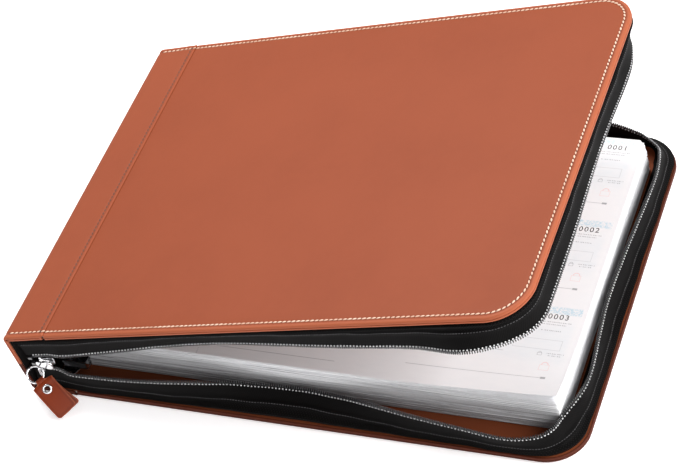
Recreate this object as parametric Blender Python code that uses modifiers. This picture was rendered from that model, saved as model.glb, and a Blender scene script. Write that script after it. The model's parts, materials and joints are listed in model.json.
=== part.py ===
"""Zip-round ring binder case with its stack of sheets, as separate named solids.

Lengths are metres. Everything is laid out with the near spine corner at zero: X runs from
the spine to the opening, Y along the spine and Z up. The covers are drawn shut, and the
two hinge empties then open them. The frame empty puts the middle of the back cover's
underside at the world origin.
"""
import math

import bmesh
import bpy
from mathutils import Matrix, Vector

# Driving dimensions of the case
CASE_WIDTH = 0.380          # spine to opening
CASE_DEPTH = 0.280          # along the spine
CASE_HEIGHT = 0.052         # outside, when shut
COVER_THICK = 0.004
CORNER_RADIUS = 0.027       # the two corners at the opening
SPINE_LEAN = math.radians(7.2)
COVER_ANGLE = math.radians(13.2)

# Layers of a cover, measured in from its outer face
SKIN = 0.0010
BOARD_FROM = 0.0013
BOARD_TO = 0.0031
LINING_FROM = 0.0034
TURNED_EDGE = 0.0012
INSET = 0.0015
GAP = 0.0003
STRIP_WIDTH = 0.034         # how far the spine leather laps onto each cover
HINGE_SLOT = 0.006          # boards and linings stop this far from the spine
CREASE = 0.0006             # how deep each hinge line lies under the outer faces
STRIP_START = 0.0015
SPINE_END = 0.0008
SPINE_BOARD_FROM = 0.0050

# Zip band: gusset, tape and teeth stand one above the other
BAND_INSET = 0.004
BAND_START = 0.006
TEETH_START = 0.0093
GUSSET_HEIGHT = 0.0087
TAPE_HEIGHT = 0.0097
TEETH_HEIGHT = 0.0019
GUSSET_THICK = 0.0011
TAPE_THICK = 0.0008
TEETH_THICK = 0.0022
STOP_LENGTH = 0.0028

# Slider
SLIDER_X = 0.0165
SLIDER_LENGTH = 0.013
SLIDER_HEIGHT = 0.0115
SLIDER_PLATE = 0.0012
SLIDER_THROAT = 0.0030
POST_LENGTH = 0.006
POST_HEIGHT = 0.0010
BAIL_REACH = 0.0046
BAIL_SPAN = 0.0078
BAIL_WIRE = 0.0006

# Jump ring and folded pull tab, in the plane they hang in
RING_RADIUS = 0.0055
RING_WIRE = 0.0007
RING_CENTRE = Vector((0.0132, -0.0060, 0.0253))
PULL_DOWN = Vector((0.680, -0.343, -0.648)).normalized()
PULL_FACE = Vector((0.353, -0.621, 0.700)).normalized()
TAB_WIDTH = 0.0165
TAB_LENGTH = 0.0275
TAB_LEATHER = 0.0010
TAB_LOOP = 0.0018
TAB_LUG = 0.0044
TAB_SHOULDER = 0.0030
EYELET_DROP = 0.0068
EYELET_FLANGE = 0.0032
EYELET_TUBE = 0.0023
EYELET_HOLE = 0.0019
EYELET_RIM = 0.0005

# Sheets and ring mechanism
SHEET_WIDTH = 0.3286
SHEET_DEPTH = 0.2286
STACK_TOP = 0.0313
STACK_X = 0.0351
STACK_Y = 0.0231
HOLE_RADIUS = 0.004
HOLE_X = 0.0447
RING_COUNT = 7
RING_PITCH = 0.034
RELIEF_TO_X = 0.0500
RELIEF_TOP = 0.0104
MECH_X = 0.0255
MECH_HALF = 0.0092
MECH_LENGTH = 0.236
MECH_TOP = 0.0114
MECH_WALL = 0.0008
BASE_FROM = 0.0043
BASE_TO = 0.0051
BLADE_PIVOT = 0.0080
BLADE_FROM = 0.0059
BLADE_TO = 0.0069
BLADE_GAP = 0.0002
HALF_RING_WIRE = 0.0012
HALF_RING_REACH = 0.017
HALF_RING_TOP = 0.044
HALF_RING_FOOT = 0.0084
FOOT_START = 0.0035
FOOT_ARC = 0.003
TOP_ARC = 0.009
TIP_GAP = 0.0003
NOTCH_WIDTH = 0.0046
TRIGGER_WIDTH = 0.012
TRIGGER_LENGTH = 0.012
TRIGGER_THICK = 0.0012
TRIGGER_TILT = math.radians(25)
TRIGGER_PIVOT_Z = 0.0072
RIVET_RADIUS = 0.003
RIVET_HEIGHT = 0.0009

# Flat pocket on the inside of the front cover
POCKET_LOW = (0.062, 0.018)
POCKET_HIGH = (0.340, 0.150)
POCKET_THICK = 0.0010

TAN = (0.42, 0.135, 0.062)
DARK_TAN = (0.27, 0.075, 0.032)
BLACK = (0.012, 0.011, 0.012)
LINING = (0.30, 0.085, 0.040)
CARD = (0.46, 0.36, 0.25)
PAPER = (0.86, 0.87, 0.88)
STEEL = (0.78, 0.78, 0.80)
NICKEL = (0.62, 0.62, 0.64)

STACK_MID_Y = STACK_Y + SHEET_DEPTH / 2
MECH_START_Y = STACK_MID_Y - MECH_LENGTH / 2
MECH_END_Y = STACK_MID_Y + MECH_LENGTH / 2


def clear_scene():
    """Remove every object, so that the script can be run again."""
    for item in list(bpy.data.objects):
        bpy.data.objects.remove(item, do_unlink=True)
    for group in list(bpy.data.collections):
        bpy.data.collections.remove(group)


def new_collection(name):
    group = bpy.data.collections.new(name)
    bpy.context.scene.collection.children.link(group)
    return group


clear_scene()
PARTS = new_collection("zip_binder_case")
CUTTERS = new_collection("cutters")


def finish(name, colour, roughness, metallic=0.0):
    """Give one sub-part its own Principled material."""
    material = bpy.data.materials.new(name + "_finish")
    material.use_nodes = True
    shader = material.node_tree.nodes["Principled BSDF"]
    shader.inputs["Base Color"].default_value = (*colour, 1.0)
    shader.inputs["Roughness"].default_value = roughness
    shader.inputs["Metallic"].default_value = metallic
    return material


def add_mesh(name, mesh, look=None):
    """Link a mesh as a part with its finish, or as a cutter when it has none."""
    item = bpy.data.objects.new(name, mesh)
    if look is None:
        item.hide_render = True
        item.display_type = "WIRE"
        CUTTERS.objects.link(item)
    else:
        mesh.materials.append(finish(name, *look))
        PARTS.objects.link(item)
    return item


def mesh_of_curve(name, points, half_height=0.0, wire=0.0, closed=False):
    """Make a mesh from a polyline: a filled outline, a ribbon or a round wire."""
    curve = bpy.data.curves.new(name, "CURVE")
    spline = curve.splines.new("POLY")
    spline.points.add(len(points) - 1)
    for target, point in zip(spline.points, points):
        place = Vector(point).to_3d()
        target.co = (*place, 1.0)
    spline.use_cyclic_u = closed
    curve.dimensions = "2D" if closed else "3D"
    if closed:
        curve.fill_mode = "BOTH"
    else:
        curve.fill_mode = "FULL"
    curve.extrude = half_height
    curve.bevel_depth = wire
    curve.bevel_resolution = 2
    curve.use_fill_caps = wire > 0.0
    item = bpy.data.objects.new(name, curve)
    bpy.context.scene.collection.objects.link(item)
    graph = bpy.context.evaluated_depsgraph_get()
    mesh = bpy.data.meshes.new_from_object(item.evaluated_get(graph))
    bpy.data.objects.remove(item, do_unlink=True)
    welded = bmesh.new()
    welded.from_mesh(mesh)
    bmesh.ops.remove_doubles(welded, verts=welded.verts, dist=0.00001)
    if closed or wire > 0.0:
        bmesh.ops.recalc_face_normals(welded, faces=welded.faces)
    welded.to_mesh(mesh)
    welded.free()
    return mesh


def plate(name, outline, low, high, look=None):
    """Extrude a flat outline from height low to height high."""
    mesh = mesh_of_curve(name, outline, half_height=(high - low) / 2, closed=True)
    mesh.transform(Matrix.Translation((0, 0, (low + high) / 2)))
    return add_mesh(name, mesh, look)


def box(name, low, high, look=None, bevel=0.0):
    """Make a box between two corners, with rounded edges if bevel is given."""
    low = Vector(low)
    high = Vector(high)
    mesh = bpy.data.meshes.new(name)
    cube = bmesh.new()
    bmesh.ops.create_cube(cube, size=1.0)
    bmesh.ops.scale(cube, vec=high - low, verts=cube.verts)
    bmesh.ops.translate(cube, vec=(low + high) / 2, verts=cube.verts)
    cube.to_mesh(mesh)
    cube.free()
    item = add_mesh(name, mesh, look)
    if bevel > 0.0:
        rounding = item.modifiers.new("rounding", "BEVEL")
        rounding.width = bevel
        rounding.segments = 2
    return item


def cylinder(name, centre, radius, low, high, look=None, sides=16):
    """Make an upright cylinder."""
    mesh = bpy.data.meshes.new(name)
    drum = bmesh.new()
    bmesh.ops.create_cone(drum, cap_ends=True, segments=sides, radius1=radius,
                          radius2=radius, depth=high - low)
    bmesh.ops.translate(drum, vec=(centre[0], centre[1], (low + high) / 2), verts=drum.verts)
    drum.to_mesh(mesh)
    drum.free()
    return add_mesh(name, mesh, look)


def combine(item, other, operation="DIFFERENCE"):
    """Cut a cutter out of a part, or join it on."""
    change = item.modifiers.new(operation.lower(), "BOOLEAN")
    change.operation = operation
    change.solver = "EXACT"
    change.object = other


def bake(item):
    """Replace a part's mesh by what its modifiers make of it."""
    bpy.context.view_layer.update()
    graph = bpy.context.evaluated_depsgraph_get()
    item.data = bpy.data.meshes.new_from_object(item.evaluated_get(graph))
    item.modifiers.clear()


def smooth(item):
    """Shade a round piece smooth, with its real edges kept sharp."""
    item.data.shade_smooth()
    item.data.set_sharp_from_angle(angle=math.radians(40))


def arc(centre, radius, start, end, steps):
    """Points on an arc, both ends included, with angles in degrees."""
    points = []
    for step in range(steps + 1):
        angle = math.radians(start + (end - start) * step / steps)
        points.append((centre[0] + radius * math.cos(angle), centre[1] + radius * math.sin(angle)))
    return points


def round_end(start_x, inset, radius, steps=7):
    """Path from the spine round the two opening corners and back to the spine."""
    end_x = CASE_WIDTH - inset
    near_y = inset
    far_y = CASE_DEPTH - inset
    path = [(start_x, near_y)]
    path += arc((end_x - radius, near_y + radius), radius, -90, 0, steps)
    path += arc((end_x - radius, far_y - radius), radius, 0, 90, steps)
    path.append((start_x, far_y))
    return path


def strip_outline(low_x, high_x, inset):
    """Four corners of a strip that runs the full depth of the case."""
    return [(low_x, inset), (high_x, inset), (high_x, CASE_DEPTH - inset), (low_x, CASE_DEPTH - inset)]


def build_cover(side, leather_look, shut_height):
    """Build one cover, and return its parts.

    shut_height turns a depth under the cover's outer face into a height.
    """

    def layer(name, outline, outer, inner, look=None):
        levels = sorted((shut_height(outer), shut_height(inner)))
        return plate(name, outline, levels[0], levels[1], look)

    panel_start = STRIP_WIDTH + GAP
    leather = layer(side + "_cover_leather", round_end(panel_start, 0.0, CORNER_RADIUS),
                    0.0, COVER_THICK, leather_look)
    pocket = layer(side + "_cover_pocket_cut",
                   round_end(panel_start - 0.01, TURNED_EDGE, CORNER_RADIUS - TURNED_EDGE),
                   SKIN, COVER_THICK + 0.002)
    combine(leather, pocket)
    strip = layer(side + "_spine_strip", strip_outline(STRIP_START, STRIP_WIDTH, 0.0),
                  0.0, COVER_THICK, leather_look)
    channel = layer(side + "_strip_cut", strip_outline(-0.01, STRIP_WIDTH + 0.01, TURNED_EDGE),
                    SKIN, COVER_THICK + 0.002)
    combine(strip, channel)
    inner_outline = round_end(HINGE_SLOT, INSET, CORNER_RADIUS - INSET)
    board = layer(side + "_cover_board", inner_outline, BOARD_FROM, BOARD_TO, (CARD, 0.9))
    lining = layer(side + "_cover_lining", inner_outline, LINING_FROM, COVER_THICK, (LINING, 0.55))
    return [leather, strip, board, lining]


def build_spine():
    """Build the spine's leather, board and lining, standing between the covers."""
    top = CASE_HEIGHT
    leather = box("spine_leather", (0, 0, SPINE_END), (SKIN - 0.0001, CASE_DEPTH, top - SPINE_END),
                  (TAN, 0.42))
    board = box("spine_board", (BOARD_FROM, INSET, SPINE_BOARD_FROM),
                (BOARD_TO, CASE_DEPTH - INSET, top - SPINE_BOARD_FROM), (CARD, 0.9))
    lining = box("spine_lining", (LINING_FROM, INSET, SPINE_BOARD_FROM),
                 (COVER_THICK, CASE_DEPTH - INSET, top - SPINE_BOARD_FROM), (BLACK, 0.8))
    return [leather, board, lining]


def band_layer(name, start_x, heights, thick, look):
    """One layer of a zip band: a ribbon round three sides, given its thickness."""
    path = round_end(start_x, BAND_INSET, CORNER_RADIUS - BAND_INSET)
    low, high = sorted(heights)
    mesh = mesh_of_curve(name, path, half_height=(high - low) / 2)
    mesh.transform(Matrix.Translation((0, 0, (low + high) / 2)))
    item = add_mesh(name, mesh, look)
    wall = item.modifiers.new("wall", "SOLIDIFY")
    wall.thickness = thick
    wall.offset = 0.0
    return item


def build_band(side, shut_height):
    """Build the gusset, tape, teeth and end stops of one cover's zip band."""
    gusset_from = COVER_THICK + GAP
    gusset_to = gusset_from + GUSSET_HEIGHT
    tape_from = gusset_to + GAP
    tape_to = tape_from + TAPE_HEIGHT
    teeth_from = tape_to + GAP
    teeth_to = teeth_from + TEETH_HEIGHT
    gusset = band_layer(side + "_gusset", BAND_START,
                        (shut_height(gusset_from), shut_height(gusset_to)), GUSSET_THICK, (BLACK, 0.85))
    tape = band_layer(side + "_zip_tape", BAND_START,
                      (shut_height(tape_from), shut_height(tape_to)), TAPE_THICK, (BLACK, 0.75))
    teeth = band_layer(side + "_zip_teeth", TEETH_START,
                       (shut_height(teeth_from), shut_height(teeth_to)), TEETH_THICK, (BLACK, 0.35))
    parts = [gusset, tape, teeth]
    levels = sorted((shut_height(teeth_from), shut_height(teeth_to)))
    stop_start = TEETH_START - GAP - STOP_LENGTH
    for end, middle_y in (("near", BAND_INSET), ("far", CASE_DEPTH - BAND_INSET)):
        low = (stop_start, middle_y - TEETH_THICK / 2, levels[0])
        high = (stop_start + STOP_LENGTH, middle_y + TEETH_THICK / 2, levels[1])
        parts.append(box(f"{side}_zip_stop_{end}", low, high, (NICKEL, 0.3, 1.0)))
    return parts


def build_slider():
    """Two plates joined by a post between the tooth rows, with the bail on the outer plate."""
    middle_z = CASE_HEIGHT / 2
    low_x = SLIDER_X - SLIDER_LENGTH / 2
    high_x = SLIDER_X + SLIDER_LENGTH / 2
    half = SLIDER_HEIGHT / 2
    outer_y = BAND_INSET - SLIDER_THROAT / 2
    inner_y = BAND_INSET + SLIDER_THROAT / 2
    body = box("slider_body", (low_x, outer_y - SLIDER_PLATE, middle_z - half),
               (high_x, inner_y + SLIDER_PLATE, middle_z + half), (STEEL, 0.2, 1.0), bevel=0.0005)
    below = (-half - 0.001, -POST_HEIGHT / 2)
    above = (POST_HEIGHT / 2, half + 0.001)
    for name, (low_z, high_z) in (("lower", below), ("upper", above)):
        throat = box(f"slider_{name}_throat_cut", (low_x - 0.001, outer_y, middle_z + low_z),
                     (high_x + 0.001, inner_y, middle_z + high_z))
        combine(body, throat)
    tail = box("slider_tail_cut", (low_x - 0.001, outer_y, middle_z - half - 0.001),
               (high_x - POST_LENGTH, inner_y, middle_z + half + 0.001))
    combine(body, tail)
    foot_y = outer_y - SLIDER_PLATE - GAP
    bend = 0.0012
    reach_y = foot_y - BAIL_REACH
    span = BAIL_SPAN / 2
    profile = [(foot_y, span)]
    profile += arc((reach_y + bend, span - bend), bend, 90, 180, 3)
    profile += arc((reach_y + bend, bend - span), bend, 180, 270, 3)
    profile.append((foot_y, -span))
    route = [(SLIDER_X - 0.0006, y, middle_z + z) for y, z in profile]
    bail = add_mesh("slider_bail", mesh_of_curve("slider_bail", route, wire=BAIL_WIRE), (STEEL, 0.2, 1.0))
    smooth(bail)
    return [body, bail]


def pull_frame():
    """Axes of the hanging pull: across the tab, up the tab, and out of its face."""
    up = -PULL_DOWN
    face = (PULL_FACE - PULL_FACE.dot(up) * up).normalized()
    across = up.cross(face)
    return Matrix((across, up, face)).transposed().to_4x4()


def build_jump_ring():
    """A round wire ring through the bail."""
    bpy.ops.mesh.primitive_torus_add(major_radius=RING_RADIUS, minor_radius=RING_WIRE,
                                     major_segments=28, minor_segments=8)
    made = bpy.context.object
    mesh = made.data
    bpy.data.objects.remove(made, do_unlink=True)
    mesh.transform(Matrix.Translation(RING_CENTRE) @ pull_frame())
    ring = add_mesh("jump_ring", mesh, (STEEL, 0.18, 1.0))
    smooth(ring)
    return ring


def build_pull_tab(pivot):
    """A leather strip folded over the jump ring, its two layers held by an eyelet."""
    layer_z = GAP / 2 + TAB_LEATHER / 2
    crown = arc((0, 0), TAB_LOOP, 120, -120, 8)
    path = [(-TAB_LENGTH, layer_z), (-2.2 * TAB_LOOP, layer_z)]
    path += crown
    path += [(-2.2 * TAB_LOOP, -layer_z), (-TAB_LENGTH, -layer_z)]
    mesh = mesh_of_curve("pull_tab", path, half_height=TAB_WIDTH / 2)
    turn = Matrix(((0, 0, 1), (1, 0, 0), (0, 1, 0))).to_4x4()
    mesh.transform(turn)
    tab = add_mesh("pull_tab", mesh, (DARK_TAN, 0.4))
    wall = tab.modifiers.new("wall", "SOLIDIFY")
    wall.thickness = TAB_LEATHER
    wall.offset = 0.0
    for side, low, high in (("left", -TAB_WIDTH, -TAB_LUG / 2), ("right", TAB_LUG / 2, TAB_WIDTH)):
        shoulder = box(f"tab_{side}_shoulder_cut", (low, -TAB_SHOULDER, -0.006), (high, 0.006, 0.006))
        combine(tab, shoulder)
        place_in_pull(shoulder, pivot)
    hole = cylinder("tab_eyelet_cut", (0, -EYELET_DROP), EYELET_TUBE + 0.0002, -0.005, 0.005, sides=20)
    combine(tab, hole)
    face = GAP / 2 + TAB_LEATHER + GAP
    profile = [(EYELET_FLANGE, face + EYELET_RIM), (EYELET_FLANGE, face), (EYELET_TUBE, face),
               (EYELET_TUBE, -face), (EYELET_FLANGE, -face), (EYELET_FLANGE, -face - EYELET_RIM),
               (EYELET_HOLE, -face - EYELET_RIM), (EYELET_HOLE, face + EYELET_RIM)]
    rivet = bpy.data.meshes.new("pull_eyelet")
    corners = [(radius, 0, height) for radius, height in profile]
    edges = [(index, (index + 1) % len(corners)) for index in range(len(corners))]
    rivet.from_pydata(corners, edges, [])
    eyelet = add_mesh("pull_eyelet", rivet, (STEEL, 0.2, 1.0))
    turning = eyelet.modifiers.new("turning", "SCREW")
    turning.steps = 24
    turning.render_steps = 24
    turning.use_merge_vertices = True
    turning.merge_threshold = 0.00001
    bake(eyelet)
    for item in (tab, hole):
        place_in_pull(item, pivot)
    place_in_pull(eyelet, pivot, drop=EYELET_DROP)
    return [tab, eyelet]


def place_in_pull(item, pivot, drop=0.0):
    """Move a piece drawn about the fold's axis to where the tab hangs."""
    item.data.transform(Matrix.Translation(pivot) @ pull_frame() @ Matrix.Translation((0, -drop, 0)))


def half_ring_path(side):
    """Centre line of one half ring in X and Z, from its foot on the blade to its tip."""
    post_x = HALF_RING_REACH
    path = [(FOOT_START, HALF_RING_FOOT)]
    path += arc((post_x - FOOT_ARC, HALF_RING_FOOT + FOOT_ARC), FOOT_ARC, -90, 0, 3)
    path += arc((post_x - TOP_ARC, HALF_RING_TOP - HALF_RING_WIRE - TOP_ARC), TOP_ARC, 0, 90, 5)
    path.append((TIP_GAP, HALF_RING_TOP - HALF_RING_WIRE))
    return [(MECH_X + side * x, z) for x, z in path]


def ring_positions():
    """Places of the rings along the spine."""
    first = STACK_MID_Y - RING_PITCH * (RING_COUNT - 1) / 2
    return [first + RING_PITCH * index for index in range(RING_COUNT)]


def build_blade(word, side):
    """One blade under the housing, with its half of every ring."""
    inner_x = MECH_X + side * BLADE_GAP
    outer_x = MECH_X + side * BLADE_PIVOT
    low_x, high_x = sorted((inner_x, outer_x))
    parts = [box(f"{word}_blade", (low_x, MECH_START_Y + 0.002, BLADE_FROM),
                 (high_x, MECH_END_Y - 0.002, BLADE_TO), (NICKEL, 0.35, 1.0))]
    for number, ring_y in enumerate(ring_positions(), start=1):
        route = [(x, ring_y, z) for x, z in half_ring_path(side)]
        name = f"{word}_half_ring_{number}"
        half = add_mesh(name, mesh_of_curve(name, route, wire=HALF_RING_WIRE), (STEEL, 0.2, 1.0))
        smooth(half)
        parts.append(half)
    return parts


def build_mechanism_frame():
    """Base plate, notched housing and its two rivets."""
    base = box("mechanism_base", (MECH_X - MECH_HALF, MECH_START_Y, BASE_FROM),
               (MECH_X + MECH_HALF, MECH_END_Y, BASE_TO), (NICKEL, 0.35, 1.0))
    housing = box("mechanism_housing", (MECH_X - MECH_HALF, MECH_START_Y, BASE_TO + GAP),
                  (MECH_X + MECH_HALF, MECH_END_Y, MECH_TOP), (STEEL, 0.25, 1.0))
    hollow = box("housing_hollow_cut", (MECH_X - MECH_HALF + MECH_WALL, MECH_START_Y - 0.001, 0),
                 (MECH_X + MECH_HALF - MECH_WALL, MECH_END_Y + 0.001, MECH_TOP - MECH_WALL))
    combine(housing, hollow)
    for number, ring_y in enumerate(ring_positions(), start=1):
        notch = box(f"housing_notch_cut_{number}", (MECH_X - 0.02, ring_y - NOTCH_WIDTH / 2, 0.001),
                    (MECH_X + 0.02, ring_y + NOTCH_WIDTH / 2, MECH_TOP - MECH_WALL - 0.0001))
        combine(housing, notch)
    parts = [base, housing]
    for end, rivet_y in (("near", MECH_START_Y + 0.008), ("far", MECH_END_Y - 0.008)):
        low = MECH_TOP + GAP
        parts.append(cylinder(f"mechanism_rivet_{end}", (MECH_X, rivet_y), RIVET_RADIUS, low,
                              low + RIVET_HEIGHT, (STEEL, 0.25, 1.0)))
    return parts


def build_trigger(end, pivot, outward):
    """A lever past the end of the housing, tilted up from its pivot."""
    lever = box(f"trigger_{end}", (-TRIGGER_WIDTH / 2, 0.0008, -TRIGGER_THICK / 2),
                (TRIGGER_WIDTH / 2, TRIGGER_LENGTH, TRIGGER_THICK / 2), (STEEL, 0.25, 1.0), bevel=0.0004)
    tilt = Matrix.Rotation(TRIGGER_TILT, 4, "X")
    turn = Matrix.Rotation(0.0 if outward > 0 else math.pi, 4, "Z")
    lever.data.transform(Matrix.Translation(pivot) @ turn @ tilt)
    return lever


def build_stack():
    """The stack of punched sheets, relieved underneath where it rides over the ring feet."""
    stack = box("sheet_stack", (STACK_X, STACK_Y, COVER_THICK + GAP),
                (STACK_X + SHEET_WIDTH, STACK_Y + SHEET_DEPTH, STACK_TOP), (PAPER, 0.8))
    relief = box("stack_relief_cut", (STACK_X - 0.01, STACK_Y - 0.01, 0),
                 (RELIEF_TO_X, STACK_Y + SHEET_DEPTH + 0.01, RELIEF_TOP))
    combine(stack, relief)
    for number, ring_y in enumerate(ring_positions(), start=1):
        hole = cylinder(f"stack_hole_cut_{number}", (HOLE_X, ring_y), HOLE_RADIUS, 0, STACK_TOP + 0.002)
        combine(stack, hole)
    return stack


def build_pocket():
    """Flat document pocket sewn to the front cover's lining."""
    low_z = CASE_HEIGHT - COVER_THICK - GAP - POCKET_THICK
    return box("front_document_pocket", (*POCKET_LOW, low_z), (*POCKET_HIGH, low_z + POCKET_THICK),
               (LINING, 0.55))


def add_empty(name, place, parent):
    """Add a joint empty at a place given in the case's own layout."""
    empty = bpy.data.objects.new(name, None)
    PARTS.objects.link(empty)
    empty.empty_display_size = 0.01
    empty.location = place
    if parent is not None:
        attach([empty], parent)
    return empty


def attach(items, empty):
    """Parent pieces to an unturned empty, leaving them where they are drawn."""
    bpy.context.view_layer.update()
    for item in items:
        item.parent = empty
        item.matrix_parent_inverse = empty.matrix_world.inverted()


def main():
    frame = add_empty("case_frame", (0, 0, 0), None)
    spine_hinge = add_empty("spine_hinge", (CREASE, 0, CREASE), frame)
    cover_hinge = add_empty("cover_hinge", (CREASE, 0, CASE_HEIGHT - CREASE), spine_hinge)
    bail_y = BAND_INSET - SLIDER_THROAT / 2 - SLIDER_PLATE - GAP - BAIL_REACH
    slider_origin = add_empty("slider_track", (SLIDER_X, BAND_INSET, CASE_HEIGHT / 2), frame)
    ring_pivot = add_empty("jump_ring_pivot", (SLIDER_X - 0.0006, bail_y, CASE_HEIGHT / 2), slider_origin)
    tab_place = RING_CENTRE + RING_RADIUS * PULL_DOWN
    tab_pivot = add_empty("pull_tab_pivot", tab_place, ring_pivot)

    def up(depth):
        return depth

    def down(depth):
        return CASE_HEIGHT - depth

    attach(build_cover("back", (TAN, 0.42), up), frame)
    attach(build_band("lower", up), frame)
    attach(build_mechanism_frame(), frame)
    attach([build_stack()], frame)
    attach(build_spine(), spine_hinge)
    attach(build_cover("front", (TAN, 0.42), down), cover_hinge)
    attach(build_band("upper", down), cover_hinge)
    attach([build_pocket()], cover_hinge)
    attach(build_slider(), slider_origin)
    attach([build_jump_ring()], ring_pivot)
    attach(build_pull_tab(tab_place), tab_pivot)
    for word, side in (("left", -1), ("right", 1)):
        pivot = add_empty(f"{word}_blade_pivot", (MECH_X + side * BLADE_PIVOT, 0, BLADE_FROM), frame)
        attach(build_blade(word, side), pivot)
    for end, edge_y, outward in (("near", MECH_START_Y, -1), ("far", MECH_END_Y, 1)):
        place = (MECH_X, edge_y + outward * 0.0015, TRIGGER_PIVOT_Z)
        pivot = add_empty(f"trigger_{end}_pivot", place, frame)
        attach([build_trigger(end, place, outward)], pivot)
    attach(list(CUTTERS.objects), frame)
    for item in CUTTERS.objects:
        if item.name.startswith("front"):
            attach([item], cover_hinge)
    spine_hinge.rotation_euler.y = -SPINE_LEAN
    cover_hinge.rotation_euler.y = -(COVER_ANGLE - SPINE_LEAN)
    frame.location = (-CASE_WIDTH / 2, -CASE_DEPTH / 2, 0)
    bpy.context.view_layer.update()


main()
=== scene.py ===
import json
import logging
import math
from dataclasses import dataclass, field
from enum import Enum
from typing import Optional, Sequence, Union

import bmesh
import bpy
import numpy as np
from mathutils import Matrix, Vector
from mathutils.geometry import delaunay_2d_cdt


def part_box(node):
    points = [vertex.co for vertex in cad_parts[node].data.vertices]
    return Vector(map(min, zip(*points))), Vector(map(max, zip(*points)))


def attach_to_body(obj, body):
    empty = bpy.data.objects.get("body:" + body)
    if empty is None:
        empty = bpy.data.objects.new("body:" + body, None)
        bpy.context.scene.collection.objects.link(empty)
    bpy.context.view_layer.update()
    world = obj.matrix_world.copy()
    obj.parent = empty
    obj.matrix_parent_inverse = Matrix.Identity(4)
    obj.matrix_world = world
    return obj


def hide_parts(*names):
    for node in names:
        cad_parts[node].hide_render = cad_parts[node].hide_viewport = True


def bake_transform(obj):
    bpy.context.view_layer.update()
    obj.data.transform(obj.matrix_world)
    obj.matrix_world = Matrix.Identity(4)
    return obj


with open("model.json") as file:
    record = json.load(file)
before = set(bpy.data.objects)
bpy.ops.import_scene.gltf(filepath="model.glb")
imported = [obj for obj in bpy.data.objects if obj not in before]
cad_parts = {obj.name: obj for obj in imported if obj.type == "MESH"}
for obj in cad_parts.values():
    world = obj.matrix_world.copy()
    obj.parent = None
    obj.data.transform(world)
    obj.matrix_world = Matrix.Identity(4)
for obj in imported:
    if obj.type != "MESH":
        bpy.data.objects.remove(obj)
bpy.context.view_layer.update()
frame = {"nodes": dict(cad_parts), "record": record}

MM = 0.001
Number = Union[float, int, "Wire"]
Colour = tuple[float, float, float]
log = logging.getLogger("zip_binder")


class Wire:
    """A number in a material's node tree, with arithmetic that adds Math nodes."""

    def __init__(self, sheet: "NodeSheet", socket: bpy.types.NodeSocket) -> None:
        """Hold a socket."""
        self.sheet = sheet
        self.socket = socket

    def math(self, operation: str, *others: Number) -> "Wire":
        """Add one Math node that starts from this number."""
        inputs = dict(enumerate((self, *others)))
        return self.sheet.wire("ShaderNodeMath", {"operation": operation}, inputs)

    def __add__(self, other: Number) -> "Wire":
        """Sum."""
        return self.math("ADD", other)

    __radd__ = __add__

    def __sub__(self, other: Number) -> "Wire":
        """Difference."""
        return self.math("SUBTRACT", other)

    def __rsub__(self, other: Number) -> "Wire":
        """Difference from a plain number."""
        return self.math("MULTIPLY_ADD", -1.0, other)

    def __mul__(self, other: Number) -> "Wire":
        """Product."""
        return self.math("MULTIPLY", other)

    __rmul__ = __mul__

    def __truediv__(self, other: Number) -> "Wire":
        """Quotient."""
        return self.math("DIVIDE", other)

    def fract(self) -> "Wire":
        """What is left after the whole number."""
        return self.math("FRACT")

    def size(self) -> "Wire":
        """The number without its sign."""
        return self.math("ABSOLUTE")

    def sine(self) -> "Wire":
        """Sine of an angle in radians."""
        return self.math("SINE")

    def above(self, limit: Number) -> "Wire":
        """One where the number is over a limit, and zero elsewhere."""
        return self.math("GREATER_THAN", limit)

    def either(self, other: Number) -> "Wire":
        """The greater of two numbers."""
        return self.math("MAXIMUM", other)

    def rise(self, low: float, high: float) -> "Wire":
        """A smooth step."""
        settings = {"interpolation_type": "SMOOTHSTEP"}
        return self.sheet.wire("ShaderNodeMapRange", settings, {0: self, 1: low, 2: high})

    def within(self, low: float, high: float, soft: float) -> "Wire":
        """One between two limits, with soft sides."""
        return self.rise(low - soft, low + soft) * (1 - self.rise(high - soft, high + soft))


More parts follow.
